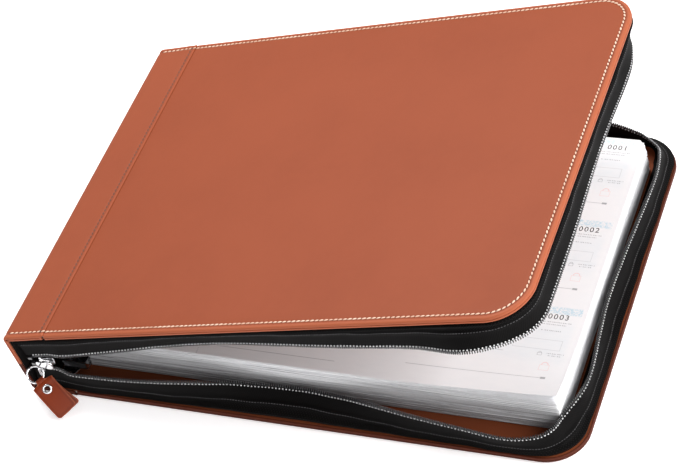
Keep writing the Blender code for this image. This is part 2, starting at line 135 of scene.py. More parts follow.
class NodeSheet:
    """The node tree of one material."""

    def __init__(self, name: str) -> None:
        """Start an empty material.

        Args:
            name: The material's name.
        """
        self.material = bpy.data.materials.new(name)
        self.material.use_nodes = True
        self.tree = self.material.node_tree
        self.tree.nodes.clear()

    def node(self, kind: str, settings: Optional[dict] = None,
             inputs: Optional[dict] = None) -> bpy.types.Node:
        """Add a node.

        Args:
            kind: The node's type.
            settings: Its own settings, set before its sockets. "stops" fills a colour ramp.
            inputs: Values or links by socket name or number.

        Returns:
            The node.
        """
        made = self.tree.nodes.new(kind)
        for name, value in (settings or {}).items():
            if name == "stops":
                self.fill_ramp(made, value)
            else:
                setattr(made, name, value)
        for key, value in (inputs or {}).items():
            socket = made.inputs[key]
            if isinstance(value, Wire):
                self.tree.links.new(value.socket, socket)
            elif isinstance(value, tuple) and socket.type == "RGBA":
                socket.default_value = (*value, 1.0)
            else:
                socket.default_value = value
        return made

    @staticmethod
    def fill_ramp(node: bpy.types.Node, stops: Sequence[tuple[float, Colour]]) -> None:
        """Set a colour ramp's stops.

        Args:
            node: The ramp.
            stops: Positions with their colours, lowest first.
        """
        elements = node.color_ramp.elements
        while len(elements) < len(stops):
            elements.new(0.5)
        for element, (place, colour) in zip(elements, stops):
            element.position = place
            element.color = (*colour, 1.0)

    def wire(self, kind: str, settings: Optional[dict] = None,
             inputs: Optional[dict] = None, output: Union[int, str] = 0) -> Wire:
        """Add a node and take one of its outputs."""
        return Wire(self, self.node(kind, settings, inputs).outputs[output])

    def place(self) -> Wire:
        """Position on the object, in millimetres."""
        spot = self.wire("ShaderNodeTexCoord", output="Object")
        return self.wire("ShaderNodeVectorMath", {"operation": "SCALE"}, {0: spot, "Scale": 1000.0})

    def axes(self, vector: Wire) -> tuple[Wire, Wire, Wire]:
        """Split a vector."""
        split = self.node("ShaderNodeSeparateXYZ", None, {0: vector})
        return tuple(Wire(self, socket) for socket in split.outputs)

    def surface_axes(self) -> tuple[Wire, Wire]:
        """The piece's own two surface coordinates, in millimetres."""
        spot = self.wire("ShaderNodeUVMap", {"uv_map": "UVMap"})
        across, along, _ = self.axes(spot)
        return across * 1000.0, along * 1000.0

    def stretched(self, vector: Wire, scale: tuple[float, float, float]) -> Wire:
        """A vector with each number multiplied."""
        return self.wire("ShaderNodeVectorMath", {"operation": "MULTIPLY"}, {0: vector, 1: scale})

    def noise(self, vector: Wire, scale: float, detail: float = 2.0, roughness: float = 0.5) -> Wire:
        """Smooth noise from zero to one."""
        inputs = {"Vector": vector, "Scale": scale, "Detail": detail, "Roughness": roughness}
        return self.wire("ShaderNodeTexNoise", None, inputs)

    def cells(self, vector: Wire, scale: float, feature: str = "F1") -> Wire:
        """Distance in a pattern of cells."""
        return self.wire("ShaderNodeTexVoronoi", {"feature": feature}, {"Vector": vector, "Scale": scale})

    def mix(self, amount: Number, low: Union[Colour, Wire], high: Union[Colour, Wire]) -> Wire:
        """Blend two colours."""
        return self.wire("ShaderNodeMix", {"data_type": "RGBA"}, {0: amount, 6: low, 7: high}, output=2)

    def bump(self, height: Wire, strength: float, depth: float) -> Wire:
        """A bumped normal."""
        inputs = {"Height": height, "Strength": strength, "Distance": depth * MM}
        return self.wire("ShaderNodeBump", None, inputs)

    def dress(self, colour: Union[Colour, Wire], roughness: Number, normal: Optional[Wire] = None,
              **constants: Union[float, Colour, Wire]) -> bpy.types.Material:
        """Finish the material with one shader.

        Args:
            colour: Base colour.
            roughness: Roughness.
            normal: Bumped normal.
            constants: Other sockets of the shader, with spaces written as underscores.

        Returns:
            The material.
        """
        inputs = {"Base Color": colour, "Roughness": roughness}
        if normal is not None:
            inputs["Normal"] = normal
        inputs.update({name.replace("_", " "): value for name, value in constants.items()})
        shader = self.wire("ShaderNodeBsdfPrincipled", None, inputs)
        self.node("ShaderNodeOutputMaterial", None, {0: shader})
        return self.material


class Finish:
    """A surface finish, made once and shared by the pieces that wear it."""

    name: str

    def paint(self, sheet: NodeSheet) -> bpy.types.Material:
        """Fill the node tree."""
        raise NotImplementedError

    def material(self) -> bpy.types.Material:
        """The finish's material, made on first use."""
        found = bpy.data.materials.get(self.name)
        return found or self.paint(NodeSheet(self.name))

    def coat(self, node: str) -> None:
        """Put the finish on a carried-over CAD node.

        Args:
            node: The node's name.
        """
        item = frame["nodes"][node]
        item.data.materials.clear()
        item.data.materials.append(self.material())


@dataclass(frozen=True)
class Leather(Finish):
    """Smooth coated leather with a fine grain, a rim of another colour and a darker stitch groove: the rim is
    paler and rubbed on most finishes, painted shade on the back cover, and the groove's darkening is painted
    shade.

    The first surface coordinate is the distance in from the nearest sewn edge.
    """

    name: str
    body: Colour
    shade: Colour
    rim: Colour
    rim_width: float = 3.2
    gloss: float = 0.40

    def paint(self, sheet: NodeSheet) -> bpy.types.Material:
        """Fill the node tree.

        Args:
            sheet: The empty tree.

        Returns:
            The finished material.
        """
        spot = sheet.place()
        inset, _ = sheet.surface_axes()
        cloud = sheet.noise(spot, 0.011, 3.0, 0.55)
        mottle = sheet.noise(spot, 0.16, 4.0, 0.6)
        pores = sheet.cells(spot, 2.6)
        grain = sheet.noise(spot, 1.1, 5.0, 0.62)
        tone = (cloud * 0.8 + mottle * 0.2).rise(0.3, 0.85)
        colour = sheet.mix(tone * 0.45, self.body, self.shade)
        wobble = (mottle - 0.5) * 1.2
        # Rim mask: a paler rubbed edge on most finishes; on the back cover its dark colour is painted shade.
        rubbed_and_shaded_rim = 1 - (inset + wobble).rise(self.rim_width - 0.9, self.rim_width + 0.5)
        colour = sheet.mix(rubbed_and_shaded_rim * 0.85, colour, self.rim)
        # Painted shade: the colour darkens along the stitch groove.
        groove = (inset - self.rim_width - 1.0).size()
        groove_shade = 1 - groove.rise(0.15, 0.95)
        colour = sheet.mix(groove_shade * 0.35, colour, self.shade)
        rough = grain * 0.16 + (self.gloss + 0.06) + rubbed_and_shaded_rim * 0.03
        relief = pores.rise(0.05, 0.75) * 0.45 + grain * 0.55
        normal = sheet.bump(relief, 0.34, 0.055)
        return sheet.dress(colour, rough, normal, Specular_IOR_Level=0.15)


@dataclass(frozen=True)
class BandCloth(Finish):
    """Black binding cloth: pebbled gusset below, plain zip tape above.

    The surface coordinates are the height up the band and the distance along it.
    """

    name: str
    gusset_top: float
    body: Colour = (0.0012, 0.0010, 0.0010)
    sheen: Colour = (0.0120, 0.0105, 0.0102)

    def paint(self, sheet: NodeSheet) -> bpy.types.Material:
        """Fill the node tree.

        Args:
            sheet: The empty tree.

        Returns:
            The finished material.
        """
        height, along = sheet.surface_axes()
        spot = sheet.place()
        gusset = 1 - height.rise(self.gusset_top - 0.3, self.gusset_top + 0.3)
        dots = ((along * (2 * math.pi / 1.9)).sine()) * ((height * (2 * math.pi / 1.9)).sine())
        ribs = ((along * (2 * math.pi / 1.3) + height * 2.4).sine()) * 0.5 + 0.5
        pebbles = dots.rise(0.0, 0.95) * gusset
        weave = ribs * (1 - gusset)
        fuzz = sheet.noise(spot, 2.2, 3.0, 0.6)
        # Painted sheen: lighter colour on the pebble tops and weave ribs; the fuzz noise adds random tone.
        sheen_and_fuzz = (pebbles * 0.7 + weave * 0.28 + fuzz * 0.4).rise(0.15, 1.25)
        colour = sheet.mix(sheen_and_fuzz, self.body, self.sheen)
        rough = 0.62 + fuzz * 0.25 - pebbles * 0.14
        normal = sheet.bump(pebbles * 0.9 + weave * 0.4 + fuzz * 0.25, 0.6, 0.16)
        return sheet.dress(colour, rough, normal, Specular_IOR_Level=0.09)


@dataclass(frozen=True)
class PlainCloth(Finish):
    """Black woven lining cloth."""

    name: str
    body: Colour = (0.0035, 0.003, 0.003)

    def paint(self, sheet: NodeSheet) -> bpy.types.Material:
        """Fill the node tree.

        Args:
            sheet: The empty tree.

        Returns:
            The finished material.
        """
        spot = sheet.place()
        east, north, up = sheet.axes(spot)
        warp = ((east + up) * (2 * math.pi / 0.8)).sine()
        weft = (north * (2 * math.pi / 0.8)).sine()
        weave = (warp * weft) * 0.5 + 0.5
        fuzz = sheet.noise(spot, 1.4, 3.0)
        colour = sheet.mix((weave * 0.5 + fuzz * 0.5), self.body, (0.011, 0.0095, 0.0095))
        normal = sheet.bump(weave * 0.7 + fuzz * 0.3, 0.5, 0.1)
        return sheet.dress(colour, 0.75 + fuzz * 0.2, normal, Specular_IOR_Level=0.12)


@dataclass(frozen=True)
class Thread(Finish):
    """Twisted sewing thread: the surface coordinate along it drives the twist."""

    name: str
    body: Colour
    dark: Colour
    fade: Colour

    def paint(self, sheet: NodeSheet) -> bpy.types.Material:
        """Fill the node tree.

        Args:
            sheet: The empty tree.

        Returns:
            The finished material.
        """
        spot = sheet.place()
        east, north, up = sheet.axes(spot)
        twist = ((east + north * 1.3 + up) * 7.5).sine() * 0.5 + 0.5
        drift = sheet.noise(spot, 0.05, 2.0).rise(0.35, 0.65)
        colour = sheet.mix(drift, self.body, self.fade)
        colour = sheet.mix(twist.rise(0.1, 0.9) * 0.5, colour, self.dark)
        return sheet.dress(colour, 0.55 + twist * 0.15, sheet.bump(twist, 0.5, 0.1))


@dataclass(frozen=True)
class Metal(Finish):
    """Plated metal with faint brushing and handling marks."""

    name: str
    body: Colour = (0.80, 0.80, 0.82)
    rough: float = 0.12
    brushing: float = 0.1

    def paint(self, sheet: NodeSheet) -> bpy.types.Material:
        """Fill the node tree.

        Args:
            sheet: The empty tree.

        Returns:
            The finished material.
        """
        spot = sheet.place()
        lines = sheet.noise(sheet.stretched(spot, (2.0, 0.25, 2.0)), 1.6, 3.0)
        smudge = sheet.noise(spot, 0.35, 3.0, 0.6)
        colour = sheet.mix(smudge.rise(0.3, 0.8) * 0.5, self.body, tuple(0.72 * part for part in self.body))
        rough = self.rough + smudge * 0.14 + lines * self.brushing
        normal = sheet.bump(lines * 0.6 + smudge * 0.4, 0.15, 0.02)
        return sheet.dress(colour, rough, normal, Metallic=1.0)


@dataclass(frozen=True)
class Nylon(Finish):
    """Glossy black moulded nylon."""

    name: str
    body: Colour = (0.012, 0.012, 0.013)

    def paint(self, sheet: NodeSheet) -> bpy.types.Material:
        """Fill the node tree.

        Args:
            sheet: The empty tree.

        Returns:
            The finished material.
        """
        spot = sheet.place()
        haze = sheet.noise(spot, 0.9, 3.0)
        colour = sheet.mix(haze, self.body, (0.03, 0.03, 0.032))
        normal = sheet.bump(haze, 0.2, 0.04)
        return sheet.dress(colour, 0.16 + haze * 0.14, normal, Specular_IOR_Level=0.7, Coat_Weight=0.35,
                           Coat_Roughness=0.12)


@dataclass(frozen=True)
class Card(Finish):
    """Grey board with pressed fibres."""

    name: str

    def paint(self, sheet: NodeSheet) -> bpy.types.Material:
        """Fill the node tree.

        Args:
            sheet: The empty tree.

        Returns:
            The finished material.
        """
        spot = sheet.place()
        pulp = sheet.noise(sheet.stretched(spot, (1.0, 0.4, 3.0)), 1.5, 4.0, 0.65)
        fleck = sheet.cells(spot, 0.8).rise(0.02, 0.1)
        colour = sheet.mix(pulp, (0.30, 0.28, 0.25), (0.44, 0.41, 0.37))
        colour = sheet.mix(fleck, (0.20, 0.17, 0.14), colour)
        return sheet.dress(colour, 0.86 + pulp * 0.1, sheet.bump(pulp, 0.4, 0.08))


@dataclass(frozen=True)
class StackedPaper(Finish):
    """The cut sides of a stack of sheets: fine streaks along each side, darker low down with painted shade
    and lighter near the opening side with painted light.
    """

    name: str
    low: float
    high: float
    right: float

    def paint(self, sheet: NodeSheet) -> bpy.types.Material:
        """Fill the node tree.

        Args:
            sheet: The empty tree.

        Returns:
            The finished material.
        """
        spot = sheet.place()
        east, _, up = sheet.axes(spot)
        streak = sheet.noise(sheet.stretched(spot, (0.012, 0.012, 2.4)), 1.0, 5.0, 0.7)
        fine = sheet.noise(sheet.stretched(spot, (0.03, 0.03, 7.0)), 1.0, 3.0, 0.65)
        # Painted shade low in the stack, and painted light on the side towards the opening.
        low_shade = 1 - up.rise(self.low, self.high)
        opening_side_light = east.rise(self.right - 3.5, self.right - 0.5)
        dark = (streak * 1.15 + fine * 0.5 + low_shade * 0.24 - opening_side_light * 0.3).rise(0.62, 1.3)
        stops = [(0.0, (0.84, 0.84, 0.85)), (0.45, (0.60, 0.60, 0.62)), (0.8, (0.30, 0.29, 0.30)),
                 (1.0, (0.15, 0.14, 0.145))]
        colour = sheet.wire("ShaderNodeValToRGB", {"stops": stops}, {0: dark})
        normal = sheet.bump(streak * 0.6 + fine * 0.4, 0.5, 0.25)
        return sheet.dress(colour, 0.6 + fine * 0.25, normal, Specular_IOR_Level=0.3)


@dataclass(frozen=True)
class PrintedForms(Finish):
    """A sheet with three ruled forms: a pale band, rules, an amount box and small marks.

    The surface coordinates run from the sheet's spine edge and near edge.
    """

    name: str
    width: float
    form_height: float
    captions: tuple[tuple[float, float, float], ...] = (
        (62.6, 8.0, 30.0), (60.6, 11.0, 27.0), (55.5, 13.0, 26.0), (36.6, 6.0, 17.0), (34.8, 7.5, 16.0))

    def paint(self, sheet: NodeSheet) -> bpy.types.Material:
        """Fill the node tree.

        Args:
            sheet: The empty tree.

        Returns:
            The finished material.
        """
        across, along = sheet.surface_axes()
        spot = sheet.place()
        form = along / self.form_height
        row = form.fract() * self.form_height
        right = self.width - across
        rule = self.line_art(row, right, across)
        haze = sheet.noise(sheet.stretched(spot, (0.08, 0.25, 0.1)), 1.0, 4.0, 0.7)
        top_band = row.within(69.6, 75.2, 0.9) * (1 - right.rise(160.0, 190.0)) * right.rise(3.0, 3.6)
        wash = row.within(30.0, 62.0, 8.0) * right.within(6.0, 60.0, 3.0)
        colour = sheet.mix(haze.rise(0.35, 0.75) * 0.25, (0.92, 0.92, 0.935), (0.84, 0.85, 0.88))
        colour = sheet.mix(wash * (haze * 0.3 + 0.05), colour, (0.66, 0.79, 0.86))
        speck = sheet.noise(spot, 0.9, 2.0, 0.6)
        colour = sheet.mix(top_band * speck.rise(0.35, 0.65) * 0.75, colour, (0.46, 0.68, 0.80))
        colour = sheet.mix(rule * 0.62, colour, (0.12, 0.12, 0.14))
        colour = sheet.mix(self.rosy_mark(row, right) * 0.6, colour, (0.88, 0.42, 0.40))
        guard = sheet.noise(spot, 0.9, 2.0)
        return sheet.dress(colour, 0.52 + guard * 0.12, sheet.bump(guard, 0.15, 0.03),
                           Specular_IOR_Level=0.4)

    def line_art(self, row: Wire, right: Wire, across: Wire) -> Wire:
        """The thin dark rules and boxes.

        Args:
            row: Height above the form's near edge.
            right: Distance in from the sheet's opening edge.
            across: Distance from the sheet's spine edge.

        Returns:
            One on ink, zero elsewhere.
        """
        thin = 0.16
        signature = row.within(15.3, 15.6, thin) * right.within(15.0, 104.0, 0.3)
        amount = row.within(35.0, 35.25, thin) * right.within(45.0, 200.0, 0.3)
        payee = row.within(51.0, 51.25, thin) * right.within(46.0, 215.0, 0.3)
        box = (right - 25.0).size().within(15.2, 15.45, thin) * row.within(39.5, 48.0, 0.2)
        box = box.either((row - 43.75).size().within(4.0, 4.25, thin) * right.within(9.8, 40.2, 0.2)) * 0.6
        stub = across.within(84.0, 84.3, thin) * (row * 0.7).fract().above(0.45)
        memo = row.within(9.0, 9.3, thin) * right.within(150.0, 232.0, 0.3)
        stub_rules = (row * 0.13).fract().within(0.47, 0.5, 0.02) * across.within(26.0, 76.0, 0.3)
        marks = self.lock(row - 35.6, right - 21.5, 1.15)
        for height, start, end in self.captions:
            marks = marks.either(self.caption(row, right, height, start, end))
        tail = row.within(14.7, 16.3, 0.2) * right.within(12.0, 15.2, 0.2)
        ink = signature.either(amount).either(payee).either(box).either(stub).either(memo)
        return ink.either(stub_rules * 0.5).either(marks).either(tail)

    @staticmethod
    def caption(row: Wire, right: Wire, height: float, start: float, end: float) -> Wire:
        """A row of small dashes that stands for fine print."""
        dash = (right * 0.83 + height).fract().above(0.3) * (right * 0.29).fract().above(0.16)
        return row.within(height - 0.35, height + 0.35, 0.15) * right.within(start, end, 0.2) * dash * 0.8

    @staticmethod
    def lock(row: Wire, right: Wire, scale: float) -> Wire:
        """A small padlock outline.

        Args:
            row: Height from the mark's middle.
            right: Distance from the mark's middle.
            scale: Size of the mark.

        Returns:
            One on ink.
        """
        width = 1.3 * scale
        high = 0.95 * scale
        sides = right.size().within(width - 0.25, width, 0.08) * row.size().within(-1.0, high, 0.08)
        ends = row.size().within(high - 0.25, high, 0.08) * right.size().within(-1.0, width, 0.08)
        reach = (right * right + (row - high) * (row - high)).math("SQRT")
        bow = reach.within(0.7 * scale, 0.95 * scale, 0.08) * row.above(high)
        return sides.either(ends).either(bow)

    def rosy_mark(self, row: Wire, right: Wire) -> Wire:
        """A larger pale padlock."""
        return self.lock(row - 24.5, right - 15.5, 2.5) * 0.8


@dataclass(frozen=True)
class Floor(Finish):
    """Plain pale studio floor."""

    name: str = "studio_floor"
    body: Colour = (0.93, 0.925, 0.93)

    def paint(self, sheet: NodeSheet) -> bpy.types.Material:
        """Fill the node tree."""
        return sheet.dress(self.body, 0.6, None, Specular_IOR_Level=0.2, Emission_Color=(1.0, 0.985, 0.99),
                           Emission_Strength=0.42)


COVER_TAN = Leather("cover_leather_finish", (0.240, 0.050, 0.0165), (0.18, 0.033, 0.009),
                    (0.34, 0.090, 0.040), 2.4)
# The back cover's dark rim colour is painted shade along its edges, on the shell and on the spine wrap.
UNDER_TAN = Leather("back_leather_finish", (0.250, 0.054, 0.019), (0.18, 0.034, 0.011),
                    (0.050, 0.0095, 0.0045))
STRIP_TAN = Leather("strip_leather_finish", (0.250, 0.054, 0.019), (0.18, 0.034, 0.011),
                    (0.34, 0.090, 0.040), 2.4)
TAB_TAN = Leather("tab_leather_finish", (0.180, 0.025, 0.005), (0.085, 0.010, 0.003),
                  (0.42, 0.13, 0.06), 0.35, 0.24)
LINING_TAN = Leather("lining_leather_finish", (0.135, 0.030, 0.010), (0.08, 0.016, 0.005),
                     (0.20, 0.050, 0.018), 1.0, 0.5)
CREAM_THREAD = Thread("cream_thread_finish", (0.80, 0.60, 0.46), (0.42, 0.22, 0.14), (0.66, 0.42, 0.30))
BROWN_THREAD = Thread("brown_thread_finish", (0.10, 0.030, 0.014), (0.03, 0.010, 0.006), (0.14, 0.045, 0.02))
# Needle holes darkened with painted shade.
HOLE_SHADE = Thread("needle_hole_shade_finish", (0.030, 0.010, 0.006), (0.012, 0.005, 0.004), (0.03, 0.01, 0.006))
BLACK_THREAD = Thread("black_thread_finish", (0.05, 0.047, 0.05), (0.01, 0.01, 0.01), (0.09, 0.085, 0.09))
# Light grey beads along both faces of the coil, drawn as sewing thread; their colour paints the coil's
# highlights.
COIL_GLINT_THREAD = Thread("coil_glint_thread_finish", (0.85, 0.85, 0.86), (0.30, 0.30, 0.30), (0.55, 0.55, 0.56))
BLACK_CLOTH = PlainCloth("black_cloth_finish")
COIL_NYLON = Nylon("zip_coil_finish")
CHROME = Metal("polished_metal_finish", (0.86, 0.86, 0.88), 0.07, 0.05)
SATIN = Metal("satin_metal_finish", (0.62, 0.62, 0.64), 0.24, 0.16)
CARD = Card("board_finish")


class Side(Enum):
    """Which half of the case a piece belongs to."""

    LOWER = "lower"
    UPPER = "upper"


def turned_up(points: np.ndarray, pivot: tuple[float, float], degrees: float) -> np.ndarray:
    """Turn points about a line along Y, with +X going up.

    Args:
        points: Points in rows.
        pivot: The line's X and Z.
        degrees: The angle.

    Returns:
        The turned points.
    """
    angle = math.radians(degrees)
    flat, high = points[:, 0] - pivot[0], points[:, 2] - pivot[1]
    cosine, sine = math.cos(angle), math.sin(angle)
    return np.column_stack((pivot[0] + flat * cosine - high * sine, points[:, 1],
                            pivot[1] + flat * sine + high * cosine))


@dataclass
class Hinges:
    """Where the spine and the front cover stand at rest, in millimetres, from the frame's joints."""

    spine_low: tuple[float, float] = (0.0, 0.0)
    spine_high: tuple[float, float] = (0.0, 0.0)
    lean: float = 0.0
    lift: float = 0.0
    shut_high: tuple[float, float] = (0.0, 0.0)

    @classmethod
    def from_record(cls) -> "Hinges":
        """Read the two fold lines and their rest angles."""
        joints = {joint["name"]: joint for joint in frame["record"]["behaviour"]["joints"]}
        low, high = joints["spine_hinge"], joints["cover_hinge"]
        lean, lift = -low["range_deg"][0], -high["range_deg"][0]
        low_at = (low["pos_m"][0] / MM, low["pos_m"][2] / MM)
        high_at = (high["pos_m"][0] / MM, high["pos_m"][2] / MM)
        shut = turned_up(np.array([[high_at[0], 0.0, high_at[1]]]), low_at, -lean)[0]
        return cls(low_at, high_at, lean, lift, (shut[0], shut[2]))

    def spine(self, points: np.ndarray) -> np.ndarray:
        """Take points drawn on the upright spine to rest."""
        return turned_up(points, self.spine_low, self.lean)

    def front(self, points: np.ndarray) -> np.ndarray:
        """Take points drawn on the shut front cover to rest."""
        moved = points + np.array([self.spine_high[0] - self.shut_high[0], 0.0,
                                   self.spine_high[1] - self.shut_high[1]])
        return turned_up(moved, self.spine_high, self.lean + self.lift)


@dataclass
class Leaf:
    """One cover's drawing board: X from the spine, Y along it, and a depth under the outer face."""

    side: Side
    hinges: Hinges
    height: float

    @property
    def body(self) -> str:
        """The body that the cover is."""
        return "back_cover" if self.side is Side.LOWER else "front_cover"

    def place(self, points: np.ndarray) -> np.ndarray:
        """Turn depths into places at rest.

        Args:
            points: X, Y and depth in rows, in millimetres.

        Returns:
            Points at rest, in millimetres.
        """
        points = np.asarray(points, dtype=float)
        if self.side is Side.LOWER:
            return points
        shut = points * np.array([1.0, 1.0, -1.0]) + np.array([0.0, 0.0, self.height])
        return self.hinges.front(shut)


class Sketch:
    """Points, faces and surface coordinates of one closed shell, in millimetres."""

    def __init__(self) -> None:
        """Start with nothing drawn."""
        self.points: list[np.ndarray] = []
        self.coords: list[np.ndarray] = []
        self.faces: list[tuple[int, ...]] = []
        self.count = 0

    def row(self, points: Sequence, coords: Optional[Sequence] = None) -> np.ndarray:
        """Add a row of points.

        Args:
            points: X, Y and Z in rows.
            coords: Two surface coordinates for each point.

        Returns:
            The points' numbers.
        """
        points = np.asarray(points, dtype=float).reshape(-1, 3)
        coords = points[:, :2] if coords is None else np.asarray(coords, dtype=float).reshape(-1, 2)
        self.points.append(points)
        self.coords.append(coords)
        numbers = np.arange(self.count, self.count + len(points))
        self.count += len(points)
        return numbers

    def bridge(self, first: np.ndarray, second: np.ndarray, closed: bool = False) -> None:
        """Join two rows of points with faces.

        Args:
            first: One row's numbers.
            second: The other row's numbers.
            closed: Whether the rows are loops.
        """
        ends = len(first) if closed else len(first) - 1
        for place in range(ends):
            after = (place + 1) % len(first)
            self.faces.append((first[place], first[after], second[after], second[place]))

    def loops(self, rows: Sequence[np.ndarray], capped: bool = True, ring: bool = False) -> None:
        """Join closed loops into a tube.

        Args:
            rows: The loops' numbers, in order.
            capped: Whether the two ends are closed with faces.
            ring: Whether the last loop joins the first.
        """
        for first, second in zip(rows, rows[1:]):
            self.bridge(first, second, True)
        if ring:
            self.bridge(rows[-1], rows[0], True)
        elif capped:
            self.faces.append(tuple(rows[0]))
            self.faces.append(tuple(rows[-1]))

    def fill(self, numbers: Sequence[int]) -> None:
        """Add one face."""
        self.faces.append(tuple(numbers))

    def piece(self, name: str, finish: Finish, crease: float = 40.0) -> bpy.types.Object:
        """Make the shell an object at the origin.

        Args:
            name: The piece's name.
            finish: What it wears.
            crease: Edges sharper than this many degrees stay sharp.

        Returns:
            The object.
        """
        points = np.vstack(self.points) * MM
        coords = np.vstack(self.coords) * MM
        mesh = bpy.data.meshes.new(name)
        mesh.from_pydata(points.tolist(), [], [tuple(int(n) for n in face) for face in self.faces])
        layer = mesh.uv_layers.new(name="UVMap")
        corners = np.empty(len(mesh.loops), dtype=np.int32)
        mesh.loops.foreach_get("vertex_index", corners)
        layer.data.foreach_set("uv", coords[corners].astype(np.float32).ravel())
        return finished(name, mesh, finish, crease)


def finished(name: str, mesh: bpy.types.Mesh, finish: Finish, crease: float = 40.0,
             recalculate: bool = True) -> bpy.types.Object:
    """Link a mesh as a piece, with its faces outwards and smooth.

    Args:
        name: The piece's name.
        mesh: Its mesh, in metres.
        finish: What it wears.
        crease: Edges sharper than this many degrees stay sharp.
        recalculate: Whether to turn the faces outwards.

    Returns:
        The object.
    """
    if recalculate:
        shell = bmesh.new()
        shell.from_mesh(mesh)
        bmesh.ops.recalc_face_normals(shell, faces=shell.faces)
        shell.to_mesh(mesh)
        shell.free()
    mesh.polygons.foreach_set("use_smooth", [True] * len(mesh.polygons))
    mesh.set_sharp_from_angle(angle=math.radians(crease))
    mesh.materials.clear()
    mesh.materials.append(finish.material())
    item = bpy.data.objects.new(name, mesh)
    bpy.context.scene.collection.objects.link(item)
    return item


def merged(name: str, items: Sequence[bpy.types.Object]) -> bpy.types.Object:
    """Join pieces that are one body into one object.

    Args:
        name: The new piece's name.
        items: Objects with one material between them.

    Returns:
        The joined object.
    """
    shell = bmesh.new()
    for item in items:
        shell.from_mesh(item.data)
    mesh = items[0].data
    shell.to_mesh(mesh)
    shell.free()
    for item in items[1:]:
        bpy.data.objects.remove(item)
    items[0].name = name
    mesh.name = name
    return items[0]


def unit(vectors: np.ndarray) -> np.ndarray:
    """Rows of a table made one long."""
    return vectors / np.maximum(np.linalg.norm(vectors, axis=-1, keepdims=True), 1e-9)


def distance_along(line: np.ndarray) -> np.ndarray:
    """The length of a line up to each of its points."""
    return np.concatenate(([0.0], np.cumsum(np.linalg.norm(np.diff(line, axis=0), axis=1))))


def full_turn(count: int) -> np.ndarray:
    """Even angles round a circle, in radians."""
    return np.linspace(0.0, 2 * math.pi, count, endpoint=False)


def rounded(start: np.ndarray, knee: np.ndarray, finish: np.ndarray, steps: int) -> np.ndarray:
    """The points of a smooth bend between two ends."""
    share = np.linspace(0.0, 1.0, steps)[1:-1, None]
    return (1 - share) ** 2 * start + 2 * share * (1 - share) * knee + share ** 2 * finish


def plain_mesh(item: bpy.types.Object) -> bpy.types.Mesh:
    """A new mesh of what an object shows, with its modifiers or its lettering worked out."""
    graph = bpy.context.evaluated_depsgraph_get()
    return bpy.data.meshes.new_from_object(item.evaluated_get(graph))


def attach(body: str, slot: str, *items: bpy.types.Object) -> None:
    """Fix pieces to a body."""
    for item in items:
        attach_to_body(item, body)


def tube(path: Sequence, radius: float, sides: int, up: Sequence[float]) -> Sketch:
    """A round wire along a path.

    Args:
        path: Points in rows, in millimetres.
        radius: The wire's radius.
        sides: Faces round it.
        up: A direction that the path never takes.

    Returns:
        The drawn wire.
    """
    path = np.asarray(path, dtype=float)
    along = unit(np.gradient(path, axis=0))
    across = unit(np.cross(along, np.asarray(up)))
    lift = np.cross(across, along)
    sketch = Sketch()
    rows = []
    turn = full_turn(sides)
    for spot, side, rise, gone in zip(path, across, lift, distance_along(path)):
        loop = [spot + radius * (math.cos(t) * side + math.sin(t) * rise) for t in turn]
        rows.append(sketch.row(loop, [(t * radius, gone) for t in turn]))
    sketch.loops(rows)
    return sketch


@dataclass(frozen=True)
class RoundEnd:
    """A cover's outline: square at the spine and round at the two opening corners."""

    start: float
    end: float
    half: float
    radius: float
    long_steps: int = 60
    arc_steps: int = 14
    side_steps: int = 40

    def near(self, inset: float) -> np.ndarray:
        """Points from the spine along the near side and round its corner.

        Args:
            inset: Distance in from the outline.

        Returns:
            X and Y in rows.
        """
        bend = self.end - self.radius
        straight = np.linspace(self.start, bend, self.long_steps + 1)
        run = np.column_stack((straight, np.full_like(straight, inset - self.half)))
        angles = np.linspace(-math.pi / 2, 0.0, self.arc_steps + 1)[1:]
        reach = self.radius - inset
        corner = np.column_stack((bend + reach * np.cos(angles),
                                  self.radius - self.half + reach * np.sin(angles)))
        return np.vstack((run, corner))

    def whole(self, inset: float) -> np.ndarray:
        """Points all the way round, from the spine and back to it.

        Args:
            inset: Distance in from the outline.

        Returns:
            X and Y in rows.
        """
        near = self.near(inset)
        side = np.linspace(near[-1, 1], -near[-1, 1], self.side_steps + 1)[1:-1]
        right = np.column_stack((np.full_like(side, near[-1, 0]), side))
        return np.vstack((near, right, near[::-1] * np.array([1.0, -1.0])))

    def field(self, inset: float) -> np.ndarray:
        """A grid of points over the inside.

        Args:
            inset: Distance in from the outline.

        Returns:
            X and Y by column and row.
        """
        near = self.near(inset)
        share = np.linspace(1.0, -1.0, self.side_steps + 1)
        return np.stack([np.column_stack((np.full_like(share, x), y * share)) for x, y in near])

    def rim_numbers(self, numbers: np.ndarray) -> np.ndarray:
        """The grid's outside points in the order of whole()."""
        return np.concatenate((numbers[:, 0], numbers[-1, 1:-1], numbers[::-1, -1]))


